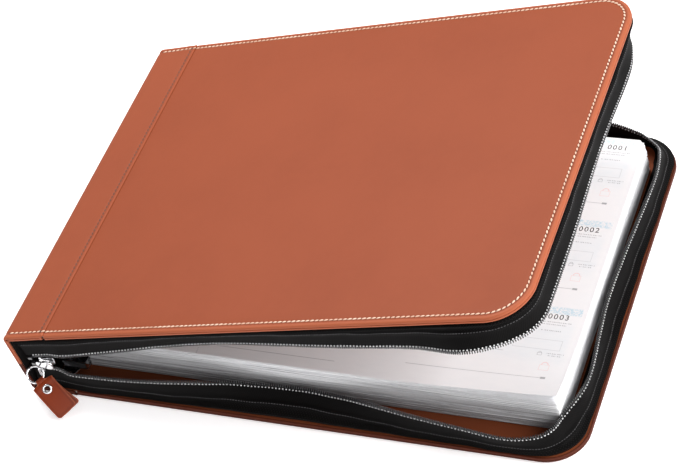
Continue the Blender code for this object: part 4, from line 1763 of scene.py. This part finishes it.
@dataclass
class Pull:
    """The jump ring, the folded leather tab and its eyelet."""

    hang: PullFrame
    ring_radius: float = 5.5
    wire: float = 0.72
    width: float = 15.4
    length: float = 27.0
    leather: float = 1.0
    lug: float = 6.0
    eyelet_drop: float = 6.8
    hole_radius: float = 2.45

    def ring(self) -> None:
        """A sprung wire ring with a closed joint."""
        angles = np.linspace(0.06, 2 * math.pi - 0.06, 72)
        path = self.hang.put([(self.ring_radius * math.sin(a), -self.ring_radius * (1 + math.cos(a)), 0.0)
                              for a in angles])
        made = tube(path, self.wire, 12, self.hang.face)
        item = made.piece("pull_jump_ring", CHROME, 50.0)
        attach("jump_ring", "polished_metal", item)
        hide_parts("jump_ring")

    def half_width(self, drop: float) -> float:
        """Half the tab's width at a distance below the ring.

        Args:
            drop: Distance below the ring, in millimetres.

        Returns:
            Millimetres.
        """
        share = min(max((drop - 0.7) / 0.9, 0.0), 1.0)
        half = (self.lug + (self.width - self.lug) * share * share * (3 - 2 * share)) / 2
        corner = max(drop - (self.length - 2.2), 0.0)
        return half - 2.2 + math.sqrt(max(2.2 ** 2 - corner ** 2, 0.0))

    def tab(self) -> None:
        """Fold the leather strip over the ring and punch its hole."""
        gap = self.leather / 2 + 0.12
        drops = [*(self.length - back for back in (0.0, 0.12, 0.5, 1.0, 1.6)), 24.8, 23, 20, 17, 14, 11,
                 9, 7, 5.6, 4.4, 3.6, 2.6, 2.0, 1.6, 1.3, 1.0]
        bow = [gap + 0.35 * math.exp(-((d - 3.5) / 1.6) ** 2) + 0.25 * (d / self.length) ** 3 for d in drops]
        front = [(d, b) for d, b in zip(drops, bow)]
        top = [(1.55 * math.cos(a), 1.55 * math.sin(a)) for a in np.radians([60, 90, 120, 150, 180])]
        line = np.array(front + top + [(d, -o) for d, o in (front + top[:-1])[::-1]])
        ahead = unit(np.gradient(line, axis=0))
        out = np.column_stack((-ahead[:, 1], ahead[:, 0]))
        sketch, rows = Sketch(), []
        run = 0.0
        for place, (spot, normal) in enumerate(zip(line, out)):
            half = self.half_width(spot[0])
            end = min(place, len(line) - 1 - place)
            thin = (0.72, 0.92, 1.0)[min(end, 2)]
            slide = 0.5 if place < len(line) / 2 else 3.2
            middle = np.linspace(-half + 1.4, half - 1.4, 7) if half > 2.0 else np.zeros(7)
            columns = np.concatenate(([-half, -half + 0.15, -half + 0.55], middle,
                                      [half - 0.55, half - 0.15, half]))
            lift = np.array([0.3, 0.42, 0.5, *([0.5] * 7), 0.5, 0.42, 0.3]) * self.leather * thin
            loop = []
            for sign, order in ((1, slice(None)), (-1, slice(None, None, -1))):
                for across, high in zip(columns[order], lift[order]):
                    drop, face = spot + normal * sign * high
                    far = max(drop - 7.0, 0.0) / 20.0
                    loop.append((across + slide * far ** 1.5, drop - 0.06 * across * far,
                                 face - 1.6 * far ** 2))
            inset = np.minimum(half - np.abs(columns), self.length - spot[0] + 0.2)
            coords = [(max(value, 0.0), run + x) for value, x in zip(inset, columns)]
            rows.append(sketch.row(self.hang.put(loop), coords + coords[::-1]))
            run += 1.3
        sketch.loops(rows)
        item = sketch.piece("pull_tab_leather", TAB_TAN, 50.0)
        self.punch(item)
        attach("pull_tab", "tab_leather", item)
        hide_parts("pull_tab")

    def punch(self, item: bpy.types.Object) -> None:
        """Cut the eyelet's hole through both layers.

        Args:
            item: The tab.
        """
        axis = [(0.0, self.eyelet_drop, out) for out in np.linspace(-4.0, 4.0, 5)]
        cutter = tube(self.hang.put(axis), self.hole_radius, 24, self.hang.across).piece("tab_hole", CARD)
        cut = item.modifiers.new("hole", "BOOLEAN")
        cut.operation = "DIFFERENCE"
        cut.solver = "EXACT"
        cut.object = cutter
        plain = plain_mesh(item)
        item.modifiers.clear()
        item.data = plain
        bpy.data.objects.remove(cutter)
        plain.materials.clear()
        plain.materials.append(TAB_TAN.material())

    def eyelet(self) -> None:
        """A rolled eyelet through the tab."""
        side = ((1.95, 0.0), (1.97, 1.3), (2.1, 1.7), (2.4, 1.86), (2.85, 1.8), (3.2, 1.58), (3.3, 1.34),
                (3.15, 1.24), (2.42, 1.24), (2.38, 1.1))
        profile = list(side) + [(r, -z) for r, z in side[:0:-1]]
        sketch, rows = Sketch(), []
        for step in range(36):
            angle = step * math.pi / 18
            drawn = [(r * math.cos(angle), self.eyelet_drop + r * math.sin(angle), z) for r, z in profile]
            rows.append(sketch.row(self.hang.put(drawn)))
        sketch.loops(rows, ring=True)
        item = sketch.piece("pull_tab_eyelet", CHROME, 50.0)
        attach("pull_tab", "polished_metal", item)
        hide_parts("pull_eyelet")

    def build(self) -> None:
        """Build the three pieces."""
        self.ring()
        self.tab()
        self.eyelet()
        log.info("zip pull: ring, tab and eyelet")


@dataclass
class Slider:
    """The zip slider's two domed plates and the post between them."""

    low: np.ndarray
    high: np.ndarray
    plate: float = 1.25
    mouth: float = 4.1
    tail: float = 2.9

    def outline(self, scale: float, level: float) -> np.ndarray:
        """One loop of a plate.

        Args:
            scale: Size as a share of the whole plate.
            level: Place across the zip.

        Returns:
            Points in rows.
        """
        middle = (self.low + self.high) / 2
        reach = (self.high[0] - self.low[0]) / 2 - 0.2
        turn = full_turn(40)
        along = np.sign(np.cos(turn)) * np.abs(np.cos(turn)) ** 0.62
        up = np.sign(np.sin(turn)) * np.abs(np.sin(turn)) ** 0.62
        share = np.clip((along + 0.35) / 0.9, 0.0, 1.0)
        waist = 1 - 0.16 * np.exp(-((along + 0.1) / 0.35) ** 2)
        half = (self.tail + (self.mouth - self.tail) * share * share * (3 - 2 * share)) * waist
        return np.column_stack((middle[0] + reach * scale * along, np.full(40, level),
                                middle[2] + half * scale * up))

    def build(self) -> None:
        """Build the slider and fix it to its body."""
        sketch = Sketch()
        dome = ((0.06, 0.0), (0.9, 0.0), (0.98, 0.1), (1.0, 0.3), (1.0, 0.62), (0.95, 0.88),
                (0.82, 1.04), (0.55, 1.16), (0.06, 1.22))
        for face, out in ((self.low[1] + self.plate, -1.0), (self.high[1] - self.plate, 1.0)):
            sketch.loops([sketch.row(self.outline(scale, face + out * rise)) for scale, rise in dome])
        middle = (self.low + self.high) / 2
        post = []
        for level in (self.low[1] + 0.6, self.high[1] - 0.6):
            post.append(sketch.row([(self.high[0] - 2.6 + 2.0 * math.cos(a), level,
                                     middle[2] + 0.55 * math.sin(a)) for a in full_turn(12)]))
        sketch.loops(post)
        item = sketch.piece("zip_slider", CHROME, 50.0)
        attach("slider", "polished_metal", item)
        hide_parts("slider_body")
        log.info("zip slider")


@dataclass
class SheetStack:
    """The stack of punched sheets, with a loose printed sheet on top."""

    low: np.ndarray
    high: np.ndarray
    hole_x: float
    hole_y: tuple[float, ...]
    hole_radius: float = 3.9
    pack: float = 0.62
    top_room: float = 1.2
    loose: int = 8

    def outline(self, inset: tuple[float, float, float, float], steps: int = 24) -> np.ndarray:
        """A rectangle with points along its sides.

        Args:
            inset: Distance in on the spine, near, opening and far sides.
            steps: Points on each side.

        Returns:
            X and Y in rows.
        """
        x0, y0 = self.low[0] + inset[0], self.low[1] + inset[1]
        x1, y1 = self.high[0] - inset[2], self.high[1] - inset[3]
        share = np.linspace(0.0, 1.0, steps, endpoint=False)
        near = np.column_stack((x0 + (x1 - x0) * share, np.full(steps, y0)))
        right = np.column_stack((np.full(steps, x1), y0 + (y1 - y0) * share))
        far = np.column_stack((x1 - (x1 - x0) * share, np.full(steps, y1)))
        left = np.column_stack((np.full(steps, x0), y1 - (y1 - y0) * share))
        return np.vstack((near, right, far, left))

    def block(self) -> bpy.types.Object:
        """The body of the stack: packs of sheets that stand slightly proud of each other."""
        rng = np.random.default_rng(11)
        sketch = Sketch()
        top = self.high[2] - self.top_room
        count = int((top - self.low[2]) / self.pack)
        rows = []
        offset = np.array([0.5, 0.5, 0.5, 0.5])
        for layer in range(count):
            base = self.low[2] + (top - self.low[2]) * layer / count
            thick = (top - self.low[2]) / count
            offset = np.clip(offset * 0.55 + rng.uniform(0.0, 0.75, 4), 0.05, 1.15)
            fan = (0.9 * layer / count) * np.array([0.0, 0.6, 1.0, 0.2])
            wave = rng.uniform(0, 6.28)
            line = self.outline(tuple(offset + fan))
            for z, tuck in ((0.0, 0.22), (0.12, 0.0), (0.88, 0.0), (1.0, 0.22)):
                inward = unit((self.low + self.high)[None, :2] / 2 - line)
                ripple = 0.1 * np.sin(line[:, 0] * 0.05 + line[:, 1] * 0.06 + wave)
                moved = line + inward * (tuck + 0.1 + ripple)[:, None]
                rows.append(sketch.row(np.column_stack((moved, np.full(len(moved), base + thick * z)))))
        for first, second in zip(rows, rows[1:]):
            sketch.bridge(first, second, True)
        self.close(sketch, rows)
        finish = StackedPaper("stack_side_finish", self.low[2], self.high[2], self.high[0])
        return sketch.piece("sheet_stack_sides", finish, 30.0)

    def holes(self) -> list[np.ndarray]:
        """Outlines of the punched holes."""
        turn = full_turn(20)
        return [np.column_stack((self.hole_x + self.hole_radius * np.cos(turn),
                                 y + self.hole_radius * np.sin(turn))) for y in self.hole_y]

    def close(self, sketch: Sketch, rows: list[np.ndarray]) -> None:
        """Cover the stack's top and bottom, and line its punched holes.

        Args:
            sketch: The drawing.
            rows: Its outside loops.
        """
        points = np.vstack(sketch.points)
        rims = []
        for row in (rows[0], rows[-1]):
            level = points[row[0], 2]
            loops = [points[row][:, :2], *self.holes()]
            numbers = [row, *(sketch.row(np.column_stack((loop, np.full(len(loop), level))))
                              for loop in loops[1:])]
            rims.append(numbers[1:])
            flat, edges = self.outlines(loops)
            found = delaunay_2d_cdt(flat, edges, [], 2, 1e-6)
            source = [origin[0] for origin in found[3]]
            flat_numbers = np.concatenate(numbers)
            for face in found[2]:
                middle = sum((found[0][corner] for corner in face), Vector((0.0, 0.0))) / len(face)
                if not self.in_hole(middle):
                    sketch.fill([flat_numbers[source[corner]] for corner in face])
        for low, high in zip(*rims):
            sketch.bridge(low, high, True)

    def level(self, order: int) -> float:
        """The height that a loose sheet lies at, before its waves."""
        return self.high[2] - self.top_room + 0.03 + 0.16 * order

    def lift(self, across: np.ndarray, along: np.ndarray, order: int) -> np.ndarray:
        """How a loose sheet waves over the one below.

        Args:
            across: Distance from the spine edge, in millimetres.
            along: Distance from the near edge.
            order: Which sheet, from zero at the bottom.

        Returns:
            Height over its lowest place.
        """
        wide = self.high[0] - self.low[0]
        opening = np.clip((across / wide - 0.62) / 0.38, 0.0, 1.0)
        curl = opening ** 2 * np.clip(1 - along / 60.0, 0.0, 1.0) ** 2
        edge = np.clip(1 - along / 18.0, 0.0, 1.0) ** 2
        ripple = 0.12 * np.sin(across * 0.021 + order) + 0.08 * np.sin(along * 0.05 + order * 2)
        return 0.2 + ripple + 0.1 * order * edge + (0.85 * order) * curl

    def in_hole(self, spot: Sequence[float]) -> bool:
        """Whether a place on the sheets is inside a punched hole."""
        return any(math.dist(spot, (self.hole_x, y)) <= self.hole_radius * 0.98 for y in self.hole_y)

    @staticmethod
    def outlines(loops: Sequence[np.ndarray]) -> tuple[list[Vector], list[tuple[int, int]]]:
        """List closed loops for a triangulation.

        Args:
            loops: X and Y in rows, loop by loop.

        Returns:
            Every point, and the edges between them.
        """
        flat: list[Vector] = []
        edges: list[tuple[int, int]] = []
        for loop in loops:
            first = len(flat)
            edges += [(first + step, first + (step + 1) % len(loop)) for step in range(len(loop))]
            flat += [Vector(spot) for spot in loop]
        return flat, edges

    def sheet(self, order: int, finish: Finish, name: str,
              slide: tuple[float, float]) -> bpy.types.Object:
        """A loose sheet.

        Args:
            order: Which sheet, from zero at the bottom.
            finish: What it wears.
            name: The piece's name.
            slide: How far it lies out of line.

        Returns:
            The sheet.
        """
        wide, deep = self.high[0] - self.low[0] - 0.9, self.high[1] - self.low[1] - 0.9
        corner = 5.0
        outline = [(0, 0), (wide, 0), (wide, deep - corner), (wide - corner * 0.8, deep), (0, deep)]
        edge = []
        for first, second in zip(outline, outline[1:] + outline[:1]):
            steps = max(int(math.dist(first, second) / 6.0), 1)
            edge += [(first[0] + (second[0] - first[0]) * s / steps,
                      first[1] + (second[1] - first[1]) * s / steps) for s in range(steps)]
        base = self.low[:2] + 0.45 + np.array(slide)
        flat, edges = self.outlines([np.array(edge), *(hole - base for hole in self.holes())])
        for x in np.arange(5.0, wide - 3.0, 7.0):
            for y in np.arange(5.0, deep - 3.0, 7.0):
                spot = (x + base[0], y + base[1])
                clear = all(math.dist(spot, (self.hole_x, hole)) > self.hole_radius + 2.0
                            for hole in self.hole_y)
                if clear and (wide - x) + (deep - y) > corner + 6.0:
                    flat.append(Vector((x, y)))
        found = delaunay_2d_cdt(flat, edges, [], 2, 1e-6)
        spots = np.array([tuple(v) for v in found[0]])
        height = self.level(order) + self.lift(spots[:, 0], spots[:, 1], order)
        sketch = Sketch()
        upper = sketch.row(np.column_stack((spots + base, height)), spots)
        lower = sketch.row(np.column_stack((spots + base, height - 0.09)), spots)
        borders: dict[tuple[int, int], int] = {}
        kept = []
        for face in found[2]:
            middle = spots[list(face)].mean(axis=0) + base
            if self.in_hole(middle):
                continue
            kept.append(face)
            for a, b in zip(face, face[1:] + face[:1]):
                borders[(a, b)] = borders.get((a, b), 0) + 1
        for face in kept:
            sketch.fill([upper[n] for n in face])
            sketch.fill([lower[n] for n in reversed(face)])
        for a, b in borders:
            if (b, a) not in borders:
                sketch.fill([upper[b], upper[a], lower[a], lower[b]])
        return sketch.piece(name, finish, 60.0)

    def numbers(self, form_height: float) -> bpy.types.Object:
        """Raised serial numbers on the top sheet, one for each form.

        Args:
            form_height: Depth of one form along the spine.

        Returns:
            The printed numbers.
        """
        wide = self.high[0] - self.low[0] - 0.9
        made = []
        for order in range(3):
            text = bpy.data.curves.new(f"serial_{order}", "FONT")
            text.body = f"{3 - order:04d}"
            text.size = 5.9
            text.space_character = 1.25
            text.align_x = "RIGHT"
            text.extrude = 0.02
            text.resolution_u = 3
            holder = bpy.data.objects.new(f"serial_{order}", text)
            bpy.context.scene.collection.objects.link(holder)
            mesh = plain_mesh(holder)
            bpy.data.objects.remove(holder)
            spots = np.empty(len(mesh.vertices) * 3)
            mesh.vertices.foreach_get("co", spots)
            spots = spots.reshape(-1, 3)
            spots[:, 0] += wide - 10.5
            spots[:, 1] += form_height * order + 65.2
            top = self.loose - 1
            rise = self.level(top) + self.lift(spots[:, 0], spots[:, 1], top)
            placed = np.column_stack((spots[:, :2] + self.low[:2] + 0.45, spots[:, 2] + rise + 0.03))
            mesh.vertices.foreach_set("co", (placed * MM).ravel())
            made.append(finished(f"serial_{order}", mesh, INK, recalculate=False))
        return merged("sheet_serial_numbers", made)

    def build(self) -> None:
        """Build the stack and fix it to the back cover."""
        form = (self.high[1] - self.low[1] - 0.9) / 3
        width = self.high[0] - self.low[0] - 0.9
        forms = PrintedForms("printed_forms_finish", width, form)
        block = self.block()
        rng = np.random.default_rng(5)
        loose = [self.sheet(order, forms, f"loose_sheet_{order + 1}", tuple(rng.uniform(-0.45, 0.45, 2)))
                 for order in range(self.loose - 1)]
        pieces = [block, *loose, self.sheet(self.loose - 1, forms, "top_form_sheet", (0.0, 0.0)),
                  self.numbers(form)]
        attach("back_cover", "paper", *pieces)
        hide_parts("sheet_stack")
        log.info("sheet stack: sides, %d loose sheets and serial numbers", self.loose)


@dataclass
class DocumentPocket:
    """The leather pocket sewn inside the front cover."""

    leaf: Leaf
    start: float
    end: float
    near: float
    far: float
    depth: float = 4.35

    def build(self, shapes: StitchShapes) -> None:
        """Build the pocket sheet with its bound mouth and its seam.

        Args:
            shapes: The small shapes that its rows are made of.
        """
        across = np.linspace(self.start, self.end, 41)
        along = np.linspace(self.near, self.far, 31)
        sketch = Sketch()
        rows = []
        for x in across:
            u = (x - self.start) / (self.end - self.start)
            loop, coords = [], []
            for level, order in ((1.0, along), (0.0, along[::-1])):
                for y in order:
                    v = (y - self.near) / (self.far - self.near)
                    slack = 0.9 * math.sin(math.pi * u) ** 0.7 * v ** 2
                    lip = 0.25 * math.exp(-((v - 0.985) / 0.012) ** 2)
                    tuck = 1 - min(min(u, 1 - u) * 60, 1.0)
                    thick = 0.9 - 0.35 * tuck + lip
                    loop.append((x, y, self.depth + slack + level * thick))
                    coords.append((min(x - self.start, self.end - x, y - self.near, self.far - y), y))
            rows.append(sketch.row(self.leaf.place(loop), coords))
        sketch.loops(rows)
        item = sketch.piece("document_pocket", LINING_TAN, 50.0)
        path = [(self.start + 3.0, self.far - 3.0), (self.start + 3.0, self.near + 3.0),
                (self.end - 3.0, self.near + 3.0), (self.end - 3.0, self.far - 3.0)]
        sewing = Row(shapes.short, 3.0, BROWN_THREAD, 0.1)
        for first, second in zip(path, path[1:]):
            line = np.linspace(first, second, 60)
            deep = self.depth + 0.95 + np.zeros(60)
            v = (line[:, 1] - self.near) / (self.far - self.near)
            u = (line[:, 0] - self.start) / (self.end - self.start)
            deep += 0.9 * np.sin(math.pi * np.clip(u, 0, 1)) ** 0.7 * v ** 2
            points = self.leaf.place(np.column_stack((line, deep)))
            above = self.leaf.place(np.column_stack((line, deep + 1.0)))
            sewing.guide(points, unit(above - points))
        seam = sewing.lay("document_pocket_seam")
        attach("front_cover", "lining", item, seam)
        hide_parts("front_document_pocket")
        flat = ((self.end - self.start) * MM, (self.far - self.near) * MM)
        log.info("document pocket")


class RingMechanism:
    """The seven-ring mechanism: carried-over parts in plated metal."""

    polished = ("mechanism_housing", "mechanism_rivet_near", "mechanism_rivet_far", "trigger_near",
                "trigger_far", "slider_bail")
    satin = ("mechanism_base", "left_blade", "right_blade")

    def build(self) -> None:
        """Dress the parts."""
        for node in self.polished:
            CHROME.coat(node)
        for node in self.satin:
            SATIN.coat(node)
        for side in ("left", "right"):
            for order in range(1, 8):
                CHROME.coat(f"{side}_half_ring_{order}")
        BLACK_CLOTH.coat("spine_lining")
        CARD.coat("spine_board")
        log.info("ring mechanism and spine inside")


@dataclass
class Studio:
    """The floor, the lights and the camera."""

    camera_at: tuple[float, float, float] = (0.53741, -0.91823, 1.09310)
    right: tuple[float, float, float] = (0.93033, 0.31256, -0.19183)
    up: tuple[float, float, float] = (-0.09951, 0.71860, 0.68827)
    lens: float = 119.45
    shift: tuple[float, float] = (-0.0418, -0.0426)

    def floor(self) -> None:
        """A wide floor that curves up far behind."""
        sketch = Sketch()
        rows = []
        for x in np.linspace(-9000.0, 9000.0, 7):
            profile = [(y, -0.6) for y in np.linspace(-9000.0, 6000.0, 9)]
            profile += [(6000.0 + 2500 * math.sin(a), 2500 * (1 - math.cos(a)) - 0.6)
                        for a in np.linspace(0.15, math.pi / 2, 8)]
            rows.append(sketch.row([(x, y, z) for y, z in profile]))
        for first, second in zip(rows, rows[1:]):
            sketch.bridge(first, second)
        item = sketch.piece("studio_floor", Floor(), 80.0)
        if item.data.polygons[0].normal.z < 0:
            item.data.flip_normals()

    @staticmethod
    def light(name: str, place: tuple[float, float, float], size: float, power: float,
              colour: Colour = (1.0, 1.0, 1.0)) -> None:
        """A square soft box that faces the case.

        Args:
            name: The light's name.
            place: Where it stands.
            size: Side of the square.
            power: Watts.
            colour: Its colour.
        """
        lamp = bpy.data.lights.new(name, "AREA")
        lamp.shape = "SQUARE"
        lamp.size = size
        lamp.energy = power
        lamp.color = colour
        item = bpy.data.objects.new(name, lamp)
        item.location = place
        item.rotation_euler = (-Vector(place)).to_track_quat("-Z", "Y").to_euler()
        bpy.context.scene.collection.objects.link(item)

    def build(self) -> None:
        """Set up the studio."""
        self.floor()
        self.light("overhead_box", (-0.75, 0.75, 1.7), 1.1, 48.0)
        self.light("near_box", (1.1, -1.5, 1.0), 0.9, 17.0)
        self.light("opening_box", (1.8, 0.1, 1.15), 1.0, 46.0)
        world = bpy.data.worlds.new("studio_air")
        world.use_nodes = True
        world.node_tree.nodes["Background"].inputs[0].default_value = (1.0, 1.0, 1.0, 1.0)
        world.node_tree.nodes["Background"].inputs[1].default_value = 0.36
        bpy.context.scene.world = world
        eye = bpy.data.cameras.new("studio_camera")
        eye.lens = self.lens
        eye.sensor_width = 36.0
        eye.shift_x, eye.shift_y = self.shift
        eye.clip_start = 0.05
        back = Vector(self.right).cross(Vector(self.up))
        item = bpy.data.objects.new("studio_camera", eye)
        turn = Matrix((Vector(self.right), Vector(self.up), back)).transposed().to_4x4()
        item.matrix_world = Matrix.Translation(self.camera_at) @ turn
        bpy.context.scene.collection.objects.link(item)
        bpy.context.scene.camera = item
        bpy.context.scene.view_settings.view_transform = "Standard"
        log.info("studio")


SHUT_HEIGHT = 52.0
CORNER_RADIUS = 27.0
LEDGE = 4.0
RING_REACH = 44.7
SATIN_BLACK = Nylon("zip_stop_finish", (0.02, 0.02, 0.022))
INK = Nylon("print_ink_finish", (0.03, 0.03, 0.035))
LOWER_WAVES = (Wave(182.0, 78.0, 17.5), Wave(330.0, 26.0, -3.0), Wave(374.0, 22.0, 12.5),
               Wave(500.0, 120.0, 9.0), Wave(474.0, 48.0, 2.5), Wave(632.0, 28.0, 10.0),
               Wave(740.0, 70.0, 7.0))
UPPER_WAVES = (Wave(140.0, 90.0, 8.0), Wave(331.0, 26.0, -7.5), Wave(352.0, 14.0, 3.0),
               Wave(520.0, 60.0, 3.0), Wave(625.0, 24.0, 8.5), Wave(760.0, 80.0, 5.0))


def millimetres(node: str) -> tuple[np.ndarray, np.ndarray]:
    """A CAD node's box at rest, in millimetres."""
    low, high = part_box(node)
    return np.array(low) / MM, np.array(high) / MM


def main() -> None:
    """Build the case round the frame, piece by piece."""
    logging.basicConfig(level=logging.INFO, format="%(name)s: %(message)s")
    Studio().build()
    hinges = Hinges.from_record()
    low, high = millimetres("back_cover_leather")
    _, strip_high = millimetres("back_spine_strip")
    spine_x = hinges.spine_low[0] - 0.6
    leaves = [Leaf(side, hinges, SHUT_HEIGHT) for side in Side]
    stitches, bands = StitchShapes(), BandShapes()
    gusset_low, _ = millimetres("lower_gusset")
    for leaf, waves, settled in zip(leaves, (LOWER_WAVES, UPPER_WAVES), (-4.0, -3.8)):
        outline = RoundEnd(low[0] + 0.1, high[0], high[1], CORNER_RADIUS)
        Cover(leaf, outline).build(stitches)
        SpineWrap(leaf, high[1], spine_x, strip_high[0], SHUT_HEIGHT).build(stitches)
        reach = 15.5 if leaf.side is Side.LOWER else 27.0
        HingeCloth(leaf, high[1], SHUT_HEIGHT, spine_x + reach, spine_x + 4.0).build()
        foot = RoundEnd(gusset_low[0], high[0] - LEDGE, high[1] - LEDGE, CORNER_RADIUS - LEDGE,
                        90, 24, 60)
        ZipBand(leaf, foot, waves, settled).build(bands)
    DocumentPocket(leaves[1], spine_x + 62.0, spine_x + 340.0, -122.0, 10.0).build(stitches)
    Slider(*millimetres("slider_body")).build()
    Pull(PullFrame.from_record()).build()
    stack_low, stack_high = millimetres("sheet_stack")
    rings = [millimetres(f"right_half_ring_{order}") for order in range(1, 8)]
    hole_y = tuple(float(ring[0][1] + ring[1][1]) / 2 for ring in rings)
    SheetStack(stack_low, stack_high, spine_x + RING_REACH, hole_y).build()
    RingMechanism().build()


if __name__ == "__main__":
    main()
